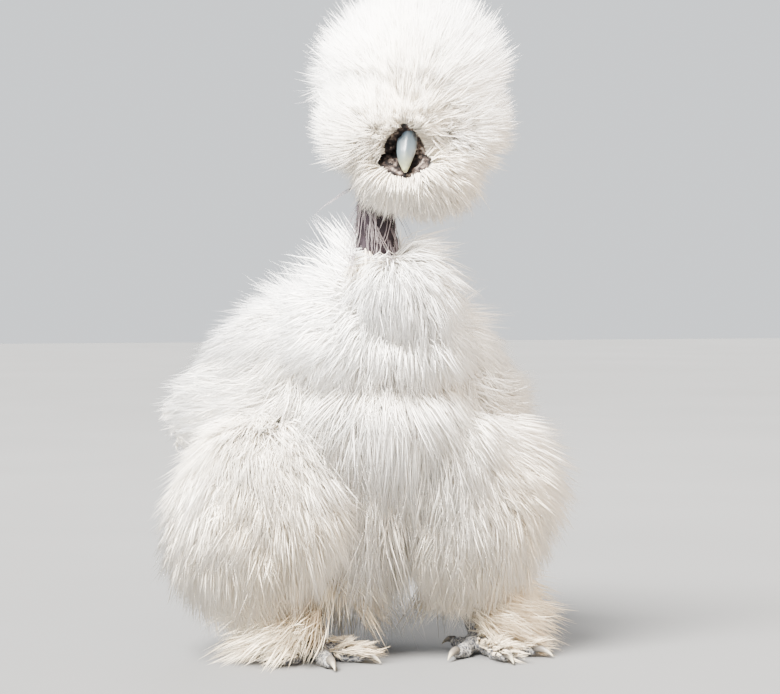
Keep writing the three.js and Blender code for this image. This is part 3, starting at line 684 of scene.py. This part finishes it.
claw_horn, shader, nodes = finish_named("claw_horn", Roughness=0.42)
place = nodes.add("ShaderNodeTexCoord", out=3)
streaks = nodes.add("ShaderNodeTexNoise", {"Vector": place, "Scale": 500.0, "Detail": 4.0})
tip_share = named(nodes, "to_tip")
blend = nodes.add("ShaderNodeMath", {0: streaks, 1: 0.4, 2: tip_share}, operation="MULTIPLY_ADD")
color = ramp(nodes, blend, (
    (0.2, (0.05, 0.046, 0.042)), (0.7, (0.12, 0.105, 0.085)), (1.0, (0.32, 0.28, 0.20)),
))
nodes.tree.links.new(color, shader.inputs["Base Color"])
relief = nodes.add("ShaderNodeBump", {"Strength": 0.3, "Distance": 0.0004, "Height": streaks})
nodes.tree.links.new(relief, shader.inputs["Normal"])
for name, side in SIDES:
    for toe, (turn, length, radius, lift) in TOES.items():
        way = heading(side, turn)
        start = toe_path(side, turn, length, lift)[3] - 1.5 * way + (0, 0, 1)
        long = CLAW_LENGTH * (0.75 if length < 25 else 1)
        bend = start + way * long * 0.6 + (0, 0, 1.2)
        tip = start + way * long + (0, 0, 1.5 if lift else -3.6)
        level = np.array((-way[1], way[0], 0))
        rings, share = [], []
        for t in np.linspace(0, 0.985, 16):
            at = on_bend(start, bend, tip, t)
            run = 2 * (1 - t) * (bend - start) + 2 * t * (tip - bend)
            up = np.cross(level, run)
            up /= -np.linalg.norm(up)
            r = radius * 0.6 * (1 - t**1.6)
            around = np.linspace(0, 2 * math.pi, CLAW_SIDES, endpoint=False)
            deep = np.where(np.sin(around) > 0, 1.0, 0.8)
            wide = np.outer(r * 0.8 * np.cos(around), level)
            rings.append(at + wide + np.outer(r * np.sin(around) * deep, up))
            share += [t] * CLAW_SIDES
        points, faces = sleeve(rings)
        points[:, 2] = np.maximum(points[:, 2], 0.02)
        mesh = mesh_of(f"claw_{name}_{toe}_horn", points + HEN_AT, faces)
        bm = bmesh.new()
        bm.from_mesh(mesh)
        bmesh.ops.recalc_face_normals(bm, faces=bm.faces)
        bm.to_mesh(mesh)
        bm.free()
        float_layer(mesh, "to_tip", share + [0, 1])
        mesh.materials.append(claw_horn)
        claw = shown(f"claw_{name}_{toe}_horn", mesh)
        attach(claw, "root")
        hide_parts(f"claw_{name}_{toe}")

# The crest is the back and top of the round pompom. Its silky feathers have no hooks and part into fine
# strands, which grow thick from the crown, stand off it on every side and stream away from the face.
rng = np.random.default_rng(7)


def strand(path, width, thick, steps):
    """One strand of a silky feather: a three-edged blade that runs out to a point."""
    p = np.array(path, float)
    ring_points, along, across = [], [], []
    for i, t in enumerate(np.linspace(0, 1, steps + 1)[:-1]):
        at = on_bend(p[0], p[1], p[2], t)
        w = width * (1 - t**1.6) * 0.5
        h = thick * (1 - 0.6 * t)
        ring_points += [at + (-w, 0, -h / 2), at + (w, 0, -h / 2), at + (0, 0, h)]
        along += [t] * 3
        across += [-0.5, 0.5, 0.0]
    faces = []
    for i in range(steps - 1):
        a = i * 3
        for j in range(3):
            k = (j + 1) % 3
            faces += [[a + j, a + k, a + 3 + k], [a + j, a + 3 + k, a + 3 + j]]
    a = (steps - 1) * 3
    faces += [[a, a + 1, a + 3], [a + 1, a + 2, a + 3], [a + 2, a, a + 3], [0, 2, 1]]
    return np.vstack([ring_points, p[2:3]]), faces, along + [1.0], across + [0.0]


def bunch(name, strands):
    """A tuft as one mesh, with how far along and across each strand a point lies."""
    points, faces, along, across, count = [], [], [], [], 0
    for p, f, run, wide in strands:
        points.append(p)
        faces += [[i + count for i in face] for face in f]
        along += run
        across += wide
        count += len(p)
    mesh = bpy.data.meshes.new(name)
    mesh.from_pydata(np.concatenate(points).tolist(), [], faces)
    float_layer(mesh, "along", along)
    float_layer(mesh, "across", across)
    return mesh


# How thick strands are, as a share of how far the tuft stands out.
STRAND_THICK = 0.032
WISP_THICK = 0.02


def tuft_kind(name, strands, steps, splay, width, kinds=5, bow=0.86, gather=0.5, wisps=0):
    """A few like tufts to pick from. They measure 1 along and 1 out, and are as wide as made.

    Where gather is above 0, strands draw together towards the tip, and where it is below, they spread.
    The last kind always draws together.
    """
    group = bpy.data.collections.new(name)
    for kind in range(kinds):
        made = []
        drawn = 0.6 if kind == kinds - 1 else gather
        for i in range(strands + wisps):
            x = rng.uniform(-1, 1) * splay * 0.5 * MM
            y = rng.uniform(-0.1, 0.1)
            far = rng.uniform(0.58, 1.08)
            long = far * rng.uniform(0.92, 1.06)
            high = far * rng.uniform(0.84, 1.06)
            long -= y * drawn * 1.5
            side = rng.normal() * splay * 0.2 * MM - x * drawn
            path = ((x, y, -0.12), (x, y + 0.30 * long, bow * high), (x + side, y + long, high))
            fat = width * MM * rng.uniform(0.75, 1.25)
            if i < strands:
                made.append(strand(path, fat, STRAND_THICK, steps))
            else:
                made.append(strand(path, fat * 0.75, WISP_THICK, 1))
        tuft = bpy.data.objects.new(f"{name}_{kind}", bunch(f"{name}_{kind}", made))
        group.objects.link(tuft)
    return group


def tree_inputs(tree, inputs):
    tree.interface.new_socket("Geometry", in_out="INPUT", socket_type="NodeSocketGeometry")
    tree.interface.new_socket("Geometry", in_out="OUTPUT", socket_type="NodeSocketGeometry")
    for name, kind in inputs:
        tree.interface.new_socket(name, in_out="INPUT", socket_type="NodeSocket" + kind)


coat_tree = bpy.data.node_groups.new("coat", "GeometryNodeTree")
tree_inputs(coat_tree, (
    ("Tufts", "Collection"), ("Kinds", "Int"), ("Where", "String"), ("Spacing", "Float"),
    ("Density", "Float"), ("Width", "Float"), ("Longer", "Float"), ("Stray", "Float"), ("Wave", "Float"),
    ("Seed", "Int"), ("Material", "Material"),
))
g = Nodes(coat_tree)
given = g.add("NodeGroupInput").node.outputs


def layer_value(nodes, name, kind="FLOAT"):
    """A layer of the skin or of a tuft, read in the tree."""
    return nodes.add("GeometryNodeInputNamedAttribute", {"Name": name}, data_type=kind)


def chance(nodes, low, high, seed, kind="FLOAT"):
    """A random value for each root, between two limits and from a fixed seed."""
    out = {"FLOAT": 1, "FLOAT_VECTOR": 0, "INT": 2}[kind]
    node = nodes.add("FunctionNodeRandomValue", out=out, data_type=kind).node
    sockets = {"FLOAT": (2, 3), "FLOAT_VECTOR": (0, 1), "INT": (4, 5)}[kind]
    for socket, value in zip((*sockets, 8), (low, high, seed)):
        if isinstance(value, bpy.types.NodeSocket):
            nodes.tree.links.new(value, node.inputs[socket])
        else:
            node.inputs[socket].default_value = value
    return node.outputs[out]


def math_of(nodes, operation, a, b):
    return nodes.add("ShaderNodeMath", {0: a, 1: b}, operation=operation)


def vector_of(nodes, operation, a, b, scale=None):
    feeds = {0: a}
    if b is not None:
        feeds[1] = b
    if scale is not None:
        feeds["Scale"] = scale
    return nodes.add("ShaderNodeVectorMath", feeds, operation=operation)


room = layer_value(g, given["Where"])
scatter = g.add("GeometryNodeDistributePointsOnFaces", {
    "Mesh": given["Geometry"], "Distance Min": given["Spacing"], "Density Max": given["Density"],
    "Density Factor": room, "Seed": given["Seed"],
}, distribute_method="POISSON").node
roots = g.add("GeometryNodeStoreNamedAttribute", {
    "Geometry": scatter.outputs["Points"], "Name": "root_uv",
    "Value": layer_value(g, "OFBake", "FLOAT_VECTOR"),
}, data_type="FLOAT_VECTOR", domain="POINT")
roots = g.add("GeometryNodeRemoveAttribute", {"Geometry": roots, "Name": "OFBake"})
stray = vector_of(g, "SCALE", chance(g, (-1, -1, -1), (1, 1, 1), 12, "FLOAT_VECTOR"), None, given["Stray"])
upright = vector_of(g, "ADD", scatter.outputs["Normal"], vector_of(g, "SCALE", stray, None, 0.5))
lie = vector_of(g, "ADD", layer_value(g, "lie", "FLOAT_VECTOR"), stray)
turned = g.add("FunctionNodeAlignRotationToVector", {"Vector": upright}, axis="Z")
turned = g.add("FunctionNodeAlignRotationToVector", {
    "Rotation": turned, "Vector": lie,
}, axis="Y", pivot_axis="Z")
long = math_of(g, "MULTIPLY", layer_value(g, "reach"), given["Longer"])
size = g.add("ShaderNodeCombineXYZ", {
    "X": math_of(g, "MULTIPLY", given["Width"], chance(g, 0.8, 1.25, 13)),
    "Y": math_of(g, "MULTIPLY", long, chance(g, 0.78, 1.1, 14)),
    "Z": math_of(g, "MULTIPLY", layer_value(g, "lift"), chance(g, 0.82, 1.04, 15)),
})
kinds = g.add("GeometryNodeCollectionInfo", {0: given["Tufts"], 1: True, 2: True})
top_kind = math_of(g, "SUBTRACT", given["Kinds"], 1.0)
placed = g.add("GeometryNodeInstanceOnPoints", {
    "Points": roots, "Instance": kinds, "Pick Instance": True,
    "Instance Index": chance(g, 0, top_kind, 16, "INT"), "Rotation": turned, "Scale": size,
})
whole = g.add("GeometryNodeRealizeInstances", {"Geometry": placed})
along = layer_value(g, "along")
spot = g.add("GeometryNodeInputPosition")
ripple = g.add("ShaderNodeTexNoise", {"Vector": spot, "Scale": 70.0, "Detail": 1.5}, out=1)
ripple = vector_of(g, "SUBTRACT", ripple, (0.5, 0.5, 0.5))
tip_wave = math_of(g, "MULTIPLY", math_of(g, "MULTIPLY", along, along), given["Wave"])
ripple = vector_of(g, "SCALE", ripple, None, tip_wave)
moved = vector_of(g, "ADD", spot, ripple)
above = vector_of(g, "MAXIMUM", moved, (-10.0, -10.0, 0.0006))
whole = g.add("GeometryNodeSetPosition", {"Geometry": whole, "Position": above})

# Each tuft covers a patch so wide in the skin's map.
PATCH = 0.003
patch = g.add("ShaderNodeCombineXYZ", {
    "X": math_of(g, "MULTIPLY", layer_value(g, "across"), PATCH), "Y": math_of(g, "MULTIPLY", along, PATCH),
})
whole = g.add("GeometryNodeStoreNamedAttribute", {
    "Geometry": whole, "Name": "OFBake",
    "Value": vector_of(g, "ADD", layer_value(g, "root_uv", "FLOAT_VECTOR"), patch),
}, data_type="FLOAT2", domain="CORNER")
whole = g.add("GeometryNodeSetShadeSmooth", {"Geometry": whole})
whole = g.add("GeometryNodeSetMaterial", {"Geometry": whole, "Material": given["Material"]})
g.add("NodeGroupOutput", {"Geometry": whole})


def grown(name, mesh, tree, values):
    """Runs a tree on a mesh, keeps what it makes as a plain mesh, and gives it to the hen."""
    source = shown(name + "_ground", mesh)
    modifier = source.modifiers.new("grow", "NODES")
    modifier.node_group = tree
    for item in tree.interface.items_tree:
        if item.in_out == "INPUT" and item.name in values:
            modifier[item.identifier] = values[item.name]
    source.update_tag()
    made = bpy.data.meshes.new_from_object(source.evaluated_get(bpy.context.evaluated_depsgraph_get()))
    made.name = name
    bpy.data.objects.remove(source)
    for spare in ("root_uv", "across"):
        if spare in made.attributes:
            made.attributes.remove(made.attributes[spare])
    piece = shown(name, made)
    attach(piece, "root")
    return piece


def unit(v):
    return v / np.maximum(np.linalg.norm(v, axis=-1, keepdims=True), 1e-9)


# How far each form's tufts reach along the skin, and how far they stand out from it, in millimetres.
LENGTHS = {
    "trunk": (44, 23), "saddle": (42, 23), "rump": (42, 23), "tail": (34, 18), "tuft": (50, 20),
    "wing_right": (38, 19), "wing_left": (38, 19), "thigh_right": (34, 21), "thigh_left": (34, 21),
    "apron_left": (38, 19), "crest": (13, 31), "beard": (18, 17), "muff_right": (14, 19),
    "muff_left": (12, 16),
}
lie = np.zeros_like(skin_points)
reach = np.zeros(len(skin_points))
lift = np.zeros(len(skin_points))
for form, (long, high) in LENGTHS.items():
    here = form_of == form
    p, n = skin_points[here], normals[here]
    side = -1 if form.endswith("right") else 1
    if form in ("trunk", "saddle", "rump"):
        flow = unit(p - NECK_BASE) + (0, 0.15, -0.6)
    elif form == "tail":
        flow = unit(p - (LEAN, 66, 140)) + (0, 0, -0.75)
    elif form == "tuft":
        flow = np.stack([n[:, 0] * 0.5, np.full(len(p), -0.1), np.full(len(p), -1.0)], 1)
    elif form.startswith("wing"):
        flow = np.tile((side * 0.1, 0.7, -1.0), (len(p), 1))
    elif form.startswith(("thigh", "apron")):
        inner = np.clip(-n[:, 0] * side, 0, 1) * np.clip((p[:, 2] - 80) / 25, 0, 1)
        flow = np.stack([n[:, 0] * (0.4 + 1.2 * inner), n[:, 1] * 0.3, inner * 0.6 - 1], 1)
        flow += np.clip(n[:, 2:] * 2, 0, 2) * (side * 0.2, -0.9, 0)
    else:
        behind = np.clip((p[:, 1:2] - POMPOM_AT[1] + 4) / 24, 0, 1)
        flow = unit(p - FACE_FRONT) * (1 - behind) + behind * (0, 0.2, -1.0)
        flow += np.clip((276 - p[:, 2:]) / 20, 0, 0.7) * (0, 0.3, -1)
    lie[here] = unit(flow)
    reach[here] = long
    lift[here] = high

# Low on the breast the fluff hangs straight down, longest in the middle, where it falls between the thighs.
tall = skin_points[:, 2]
off_middle = abs(skin_points[:, 0] - LEAN)
in_front = (form_of == "trunk") & (skin_points[:, 1] < 30)
low_front = in_front & (tall < 155)
reach[low_front] = np.interp(tall[low_front], (60, 100), (66, 54))
lift[low_front] = 6
middle = low_front & (abs(skin_points[:, 0] + 25) < 14) & (tall < 112)
reach[middle], lift[middle] = 80, 22

# The flanks lie flatter, the crop stands out over the fold, and a collar spreads round the neck's foot.
flank = np.isin(form_of, ["trunk", "wing_right", "wing_left"]) & (off_middle > 26) & (tall > 148)
lift[flank] *= 0.62
crop = in_front & (tall >= 158) & (tall < 192)
lift[crop] = np.interp(tall[crop], (160, 174, 192), (31, 24, 13))
lift[crop & (abs(skin_points[:, 0] + 18) > 24)] = 17
reach[crop] = np.interp(tall[crop], (158, 176, 190), (8, 26, 44))
collar = (of_body | neck_foot) & (tall > 172) & (np.hypot(*(skin_points - NECK_BASE)[:, :2].T) < 42)
spread = unit((skin_points[collar] - NECK_BASE) * (1, 1, 0)) + (0, 0, 0.3)
level = np.clip(normals[collar][:, 2:] * 1.6 - 0.2, 0, 1)
lie[collar] = unit(spread * level + (1 - level) * (0, -0.1, -1.0))
reach[collar], lift[collar] = 46 - 24 * level[:, 0], 20 + 14 * level[:, 0]
lift[collar & (skin_points[:, 0] < -20)] += 6
lift[collar & (skin_points[:, 0] > -4)] *= 0.55
under_chin = collar & (abs(skin_points[:, 0] + 20) < 12) & (skin_points[:, 1] < -22)
lift[under_chin], reach[under_chin] = 9, 30
lie[under_chin | neck_foot] = (0, -0.2, -1.0)
reach[neck_foot], lift[neck_foot] = 24, 7

# Round the face the fluff is half as long, and low down the right muff stands out farther.
around_face = of_head & (ahead > -45)
near_face = np.interp(beside[around_face], (11, 26), (0.5, 1.0))
lift[around_face] *= near_face
reach[around_face] *= near_face
chin = (form_of == "muff_right") & (tall < 272)
lift[chin] += np.interp(tall[chin], (252, 272), (8, 0))

# Thighs stand out most low on their outer sides and between the legs, and the wings' lower ends flare.
for name, side in SIDES:
    here = form_of == f"thigh_{name}"
    outer = here & ((skin_points[:, 0] - LEAN) * side > THIGH_OUT[side] * 0.8)
    lift[outer] = np.interp(tall[outer], (78, 112), (31 if side < 0 else 23, 10))
    inner = here & ~outer & (tall > 84)
    lift[inner] = 29
    here = (form_of == f"wing_{name}") & (tall < 150)
    lie[here] = unit(np.array((side * 0.8, 0.5, -0.1)))
    reach[here], lift[here] = 24, 22
    low_wing = here & (tall < 126)
    reach[low_wing], lift[low_wing] = 16, 9

# A wisp stands out from the left thigh, and the bare neck's hairs hang down.
wisp = (form_of == "thigh_left") & (skin_points[:, 0] - LEAN > THIGH_OUT[1] + 8) & (tall > 94)
lie[wisp] = unit(np.array((0.9, -0.2, -0.25)))
reach[wisp], lift[wisp] = 36, 27
lie[neck_bare] = (0, 0, -1.0)
reach[neck_bare], lift[neck_bare] = 34, 5

# The plumes of the shanks sweep out and down over the toes, longer on the right foot.
for name, side in SIDES:
    here = form_of == f"shank_{name}"
    way = heading(side, 48) * 0.8 + normals[here] * 0.5
    way[:, 2] = -0.45
    lie[here] = unit(way)
    lift[here] = np.interp(tall[here], (8, 20, 60), (56, 54, 30) if side < 0 else (48, 46, 27))
    reach[here] = np.interp(tall[here], (8, 20, 60), (26, 36, 48) if side < 0 else (18, 26, 40))
    for toe, (turn, length, _, _) in TOES.items():
        here = form_of == f"{toe}_{name}"
        lie[here] = heading(side, turn + (20 if toe in ("middle", "outer") else -10))
        reach[here], lift[here] = 15, 6

# All of it changes gradually from form to form. The pompom stands out farther on its left.
lie = eased(lie, 24)
lie = unit(lie - (lie * normals).sum(1, keepdims=True) * normals)
reach = eased(reach, 24)[:, 0]
lift = eased(lift, 24)[:, 0]
leftward = (skin_points[of_head][:, 0] - POMPOM_AT[0]) / 12
lift[of_head] += np.clip(leftward, -1.5, 2.5) * (tall[of_head] > 262)
layer = skin_mesh.attributes.new("lie", "FLOAT_VECTOR", "POINT")
layer.data.foreach_set("vector", lie.astype(np.float32).ravel())
float_layer(skin_mesh, "reach", reach * MM)
float_layer(skin_mesh, "lift", lift * MM)

# Where each piece of the coat grows: a layer of the skin that is 1 there and 0 elsewhere.
covered = ~(face_bare | neck_bare)
is_back = skin_points[:, 1] > 30
outward = np.arctan2(np.sign(skin_points[:, 0]) * normals[:, 0], -normals[:, 1])
feathered = (outward > math.radians(-12)) & (outward < math.radians(135)) & (skin_points[:, 2] > 9)
GROUNDS = {
    "crest_right": (form_of == "crest") & (skin_points[:, 0] < POMPOM_AT[0]),
    "crest_left": (form_of == "crest") & (skin_points[:, 0] >= POMPOM_AT[0]),
    "muff_right": form_of == "muff_right",
    "muff_left": form_of == "muff_left",
    "beard": form_of == "beard",
    "tuft": form_of == "tuft",
    "breast": (form_of == "trunk") & ~is_back,
    "belly": (form_of == "rump") | ((form_of == "trunk") & is_back),
    "saddle": form_of == "saddle",
    "tail": form_of == "tail",
    "wing_right": form_of == "wing_right",
    "wing_left": form_of == "wing_left",
    "thigh_right": form_of == "thigh_right",
    "thigh_left": np.isin(form_of, ["thigh_left", "apron_left"]),
}
for name, _ in SIDES:
    GROUNDS[f"shank_{name}"] = (form_of == f"shank_{name}") & (feathered | (skin_points[:, 2] > 48))
    toes = [f"middle_{name}", f"outer_{name}"] + (["inner_right"] if name == "right" else [])
    GROUNDS[f"toes_{name}"] = np.isin(form_of, toes) & (normals[:, 2] > 0.15)
for ground, here in GROUNDS.items():
    float_layer(skin_mesh, "at_" + ground, (here & covered).astype(float))
for name, side in SIDES:
    here = (form_of == f"wing_{name}") & (skin_points[:, 1] > 62) & (normals[:, 0] * side > 0.2)
    float_layer(skin_mesh, f"at_quills_{name}", here.astype(float))
float_layer(skin_mesh, "at_quills_tail", ((form_of == "tail") & (skin_points[:, 1] > 112)).astype(float))
float_layer(skin_mesh, "at_neck", neck_bare.astype(float))

# White feather: painted shade makes it cream and darker at the root, pure white towards the tip, and a
# cream tint, partly soiling and partly painted warm shade, makes it warmer low on the body.
plume, shader, nodes = finish_named("silky_white", Roughness=0.7, Sheen_Weight=0.4, Sheen_Roughness=0.5)
place = nodes.add("ShaderNodeTexCoord", out=3)
blotch = nodes.add("ShaderNodeTexNoise", {"Vector": place, "Scale": 22.0, "Detail": 3.0})
root_tip = ramp(nodes, named(nodes, "along"), (
    (0.0, (0.84, 0.77, 0.65)), (0.35, (0.93, 0.90, 0.84)),
    (0.7, (0.97, 0.96, 0.935)), (1.0, (0.985, 0.98, 0.97)),
))
soil_and_shade_mix = math_of(nodes, "MULTIPLY", named(nodes, "warmth"), math_of(nodes, "ADD", blotch, 0.4))
color = mixed(nodes, soil_and_shade_mix, root_tip, (0.72, 0.60, 0.42))
nodes.tree.links.new(color, shader.inputs["Base Color"])
stroke = nodes.add("ShaderNodeTexNoise", {"Vector": place, "Scale": 1500.0, "Detail": 2.0})
relief = nodes.add("ShaderNodeBump", {"Strength": 0.15, "Distance": 0.0002, "Height": stroke})
nodes.tree.links.new(relief, shader.inputs["Normal"])

pompom_tufts = tuft_kind("pompom_tuft", 8, 2, 4.5, 0.8, gather=-1.0, wisps=12)


def coat(name, ground, tufts, spacing, density, width, stray, wave, seed, finish, longer=1.0):
    """One piece of the coat. Spacing is in millimetres, and density in tufts to a square centimetre."""
    return grown(name, skin_mesh.copy(), coat_tree, {
        "Tufts": tufts, "Kinds": len(tufts.objects), "Where": "at_" + ground, "Spacing": spacing * MM,
        "Density": density * 1e4, "Width": width, "Longer": longer, "Stray": stray, "Wave": wave * MM,
        "Seed": seed, "Material": finish,
    })


for ground, seed in (("crest_right", 41), ("crest_left", 42)):
    coat(ground + "_fluff", ground, pompom_tufts, 1.15, 100, 1.0, 0.3, 5, seed, plume)

# Beard and muffs are the lower half of the pompom: the same silky strands, only shorter.
# They grow from the cheeks and the throat and meet under the bill.
for ground, seed in (("muff_right", 43), ("muff_left", 44), ("beard", 45)):
    coat(ground + "_fluff", ground, pompom_tufts, 1.25, 85, 1.0, 0.3, 4, seed, plume)

# The breast tuft is a bunch of long straight strands that grow at the foot of the bare neck.
# It hangs down over the crop.
body_tufts = tuft_kind("body_tuft", 8, 2, 9.0, 0.85, gather=-0.5, wisps=13)
coat("breast_tuft_fluff", "tuft", body_tufts, 2.3, 18, 1.0, 0.2, 6, 51, plume)

# The bare neck keeps a few long thin hair-feathers, dark at the root and greyed pink towards the tip.
# They hang loose from the skin and cross each other on the way down.
hair, shader, nodes = finish_named("neck_hair", Roughness=0.6, Sheen_Weight=0.2)
color = ramp(nodes, named(nodes, "along"), (
    (0.0, (0.08, 0.06, 0.065)), (0.5, (0.20, 0.16, 0.165)), (1.0, (0.42, 0.36, 0.35)),
))
nodes.tree.links.new(color, shader.inputs["Base Color"])
hair_tufts = tuft_kind("neck_hair", 4, 3, 7.0, 0.6, bow=1.0, gather=0.2)
coat("neck_hair", "neck", hair_tufts, 5.0, 4, 1.0, 0.5, 14, 64, hair)

# The body's coat is the same silky feather, loose and overlapping, over breast, belly and saddle.
# It lies back and down from the foot of the neck.
for ground, seed in (("breast", 52), ("belly", 53), ("saddle", 54)):
    coat(ground + "_fluff", ground, body_tufts, 2.6, 12, 1.1, 0.3, 9, seed, plume)

# Wings hang folded at the sides. Long soft coverts grow over them and hide them,
# and flare a little at their lower ends.
for name, _ in SIDES:
    fluff = coat(f"wing_{name}_fluff", f"wing_{name}", body_tufts, 2.4, 15, 1.0, 0.28, 8, 55, plume)

# Behind the coverts stand a few quills whose barbs don't hold together, so that each vane frays into
# strands. Each quill is one bent shaft, rooted in the wing, with loose barbs down both of its edges.
SHAFT = np.array(((0, 0, -0.1), (0, 0.5, 0.75), (0, 1.0, 0.7)))
BARBS = 26
quills = bpy.data.collections.new("quill")
for kind in range(3):
    made = [strand(SHAFT, 1.0 * MM, 0.04, 4)]
    for t in np.linspace(0.15, 1.0, BARBS):
        for side in (-1, 1):
            start = on_bend(*SHAFT, t)
            out = side * rng.uniform(3, 10) * MM * math.sin(0.5 + 2.2 * t)
            middle = start + (out * 0.6, 0.06, 0.06)
            end = start + (out, rng.uniform(0.08, 0.36), rng.uniform(-0.35, 0.12))
            made.append(strand((start, middle, end), 0.5 * MM, 0.02, 2))
    quills.objects.link(bpy.data.objects.new(f"quill_{kind}", bunch(f"quill_{kind}", made)))
for name, _ in SIDES:
    quill = coat(f"wing_{name}_quills", f"quills_{name}", quills, 9.0, 4, 1.0, 0.12, 5, 65, plume, 1.25)

# Thighs are round muffs of fluff that grow down to the hocks.
# The left one's piece takes in the lobe of belly fluff that hangs beside it.
for name, _ in SIDES:
    fluff = coat(f"thigh_{name}_fluff", f"thigh_{name}", body_tufts, 2.4, 15, 1.0, 0.3, 8, 57, plume)

# Shanks carry long plumes on their outer sides that sweep down and out over the floor, cream with soil.
# Short tufts grow on the middle and outer toes, and on the right foot's inner one.
foot_plume, shader, nodes = finish_named("foot_cream", Roughness=0.7, Sheen_Weight=0.3, Sheen_Roughness=0.5)
place = nodes.add("ShaderNodeTexCoord", out=3)
blotch = nodes.add("ShaderNodeTexNoise", {"Vector": place, "Scale": 60.0, "Detail": 3.0})
# Painted shade darkens each plume towards its root, and the blotches below are soil.
root_tip = ramp(nodes, named(nodes, "along"), (
    (0.0, (0.44, 0.34, 0.20)), (0.4, (0.68, 0.56, 0.38)), (1.0, (0.84, 0.75, 0.58)),
))
soiled = ramp(nodes, blotch, ((0.35, (0, 0, 0)), (0.75, (0.8, 0.8, 0.8))))
color = mixed(nodes, soiled, root_tip, (0.50, 0.37, 0.20))
nodes.tree.links.new(color, shader.inputs["Base Color"])
plume_tufts = tuft_kind("shank_plume", 10, 2, 9.0, 0.9, bow=0.7, gather=0.1, wisps=10)
toe_tufts = tuft_kind("toe_tuft", 7, 2, 2.5, 0.7)
for name, _ in SIDES:
    ground = f"shank_{name}"
    shank = coat(ground + "_plumes", ground, plume_tufts, 1.4, 40, 1.0, 0.35, 8, 61, foot_plume)
    ground = f"toes_{name}"
    toes = coat(ground + "_tufts", ground, toe_tufts, 1.3, 40, 1.0, 0.3, 2, 63, foot_plume)

# The tail is a short soft cushion of the same strands, which grow all round its stump and hang down.
# A few frayed quills like the wings' stand out of its end.
coat("tail_fluff", "tail", body_tufts, 2.2, 18, 1.0, 0.25, 7, 59, plume)
coat("tail_quills", "quills_tail", quills, 8.0, 5, 1.0, 0.2, 8, 66, plume, 1.15)

# The studio is a smooth, pale, plain floor under an even sky.
# A broad soft light falls from the upper left, with weaker ones from the front, the right and behind.
FLOOR_HALF = 6
HEN_MIDDLE = Vector((0, 0, 0.17))
floor_mesh = bpy.data.meshes.new("studio_floor")
corners = [(x * FLOOR_HALF, y * FLOOR_HALF, 0) for x, y in ((-1, -1), (1, -1), (1, 1), (-1, 1))]
floor_mesh.from_pydata(corners, [], [(0, 1, 2, 3)])
floor_paint, shader, nodes = finish_named("studio_floor", Roughness=0.8)
place = nodes.add("ShaderNodeTexCoord", out=3)
faint = nodes.add("ShaderNodeTexNoise", {"Vector": place, "Scale": 3.0})
color = ramp(nodes, faint, ((0.3, (0.105, 0.105, 0.103)), (0.7, (0.115, 0.115, 0.113))))
nodes.tree.links.new(color, shader.inputs["Base Color"])
floor_mesh.materials.append(floor_paint)
floor = shown("studio_floor", floor_mesh)
floor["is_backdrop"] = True

world = bpy.data.worlds.new("studio")
bpy.context.scene.world = world
world.use_nodes = True
world.node_tree.nodes["Background"].inputs["Color"].default_value = (0.74, 0.77, 0.80, 1)
world.node_tree.nodes["Background"].inputs["Strength"].default_value = 1.5

for name, toward, strength, soft, tint in (
    ("key", (0.66, 0.72, -1.0), 42, 28, (1.0, 0.975, 0.94)),
    ("front", (0.3, 1.0, -0.35), 5, 70, (1.0, 1.0, 1.0)),
):
    sun = bpy.data.lights.new(name, "SUN")
    sun.energy = strength
    sun.angle = math.radians(soft)
    sun.color = tint
    light = bpy.data.objects.new(name, sun)
    light.rotation_euler = Vector(toward).to_track_quat("-Z", "Y").to_euler()
    bpy.context.collection.objects.link(light)
for name, at, size, power, tint in (
    ("fill", (1.5, -1.2, 0.5), 1.4, 60, (1.0, 0.74, 0.48)),
    ("rim", (0.5, 1.6, 1.5), 1.0, 30, (1.0, 1.0, 1.0)),
):
    lamp = bpy.data.lights.new(name, "AREA")
    lamp.energy = power
    lamp.size = size
    lamp.color = tint
    light = bpy.data.objects.new(name, lamp)
    light.location = at
    light.rotation_euler = (HEN_MIDDLE - Vector(at)).to_track_quat("-Z", "Y").to_euler()
    bpy.context.collection.objects.link(light)

# The camera sees the hen from the photograph's side and height. It aims at the middle of the frame, and the
# point between the feet lies at MIDDLE, in the photograph's pixels.
FEET_AT = Vector((HEN_AT + (0, FOOT_Y, 0)) * MM)
AWAY = 1.5
FRAME = (780, 694)
SENSOR = 36
azimuth = math.radians(-15)
elevation = math.radians(8)
back = Vector((
    math.sin(azimuth) * math.cos(elevation), -math.cos(azimuth) * math.cos(elevation), math.sin(elevation),
))
right = Vector((math.cos(azimuth), math.sin(azimuth), 0))
up = back.cross(right)
FOCAL = 2778
MIDDLE = (397, 655)
ray = -back + right * ((FRAME[0] / 2 - MIDDLE[0]) / FOCAL) + up * ((MIDDLE[1] - FRAME[1] / 2) / FOCAL)
camera_data = bpy.data.cameras.new("camera")
camera_data.sensor_width = SENSOR
camera_data.lens = SENSOR * FOCAL / FRAME[0]
camera = bpy.data.objects.new("camera", camera_data)
camera.location = FEET_AT + back * AWAY
camera.rotation_euler = ray.to_track_quat("-Z", "Y").to_euler()
bpy.context.collection.objects.link(camera)
bpy.context.scene.camera = camera

low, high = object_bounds()
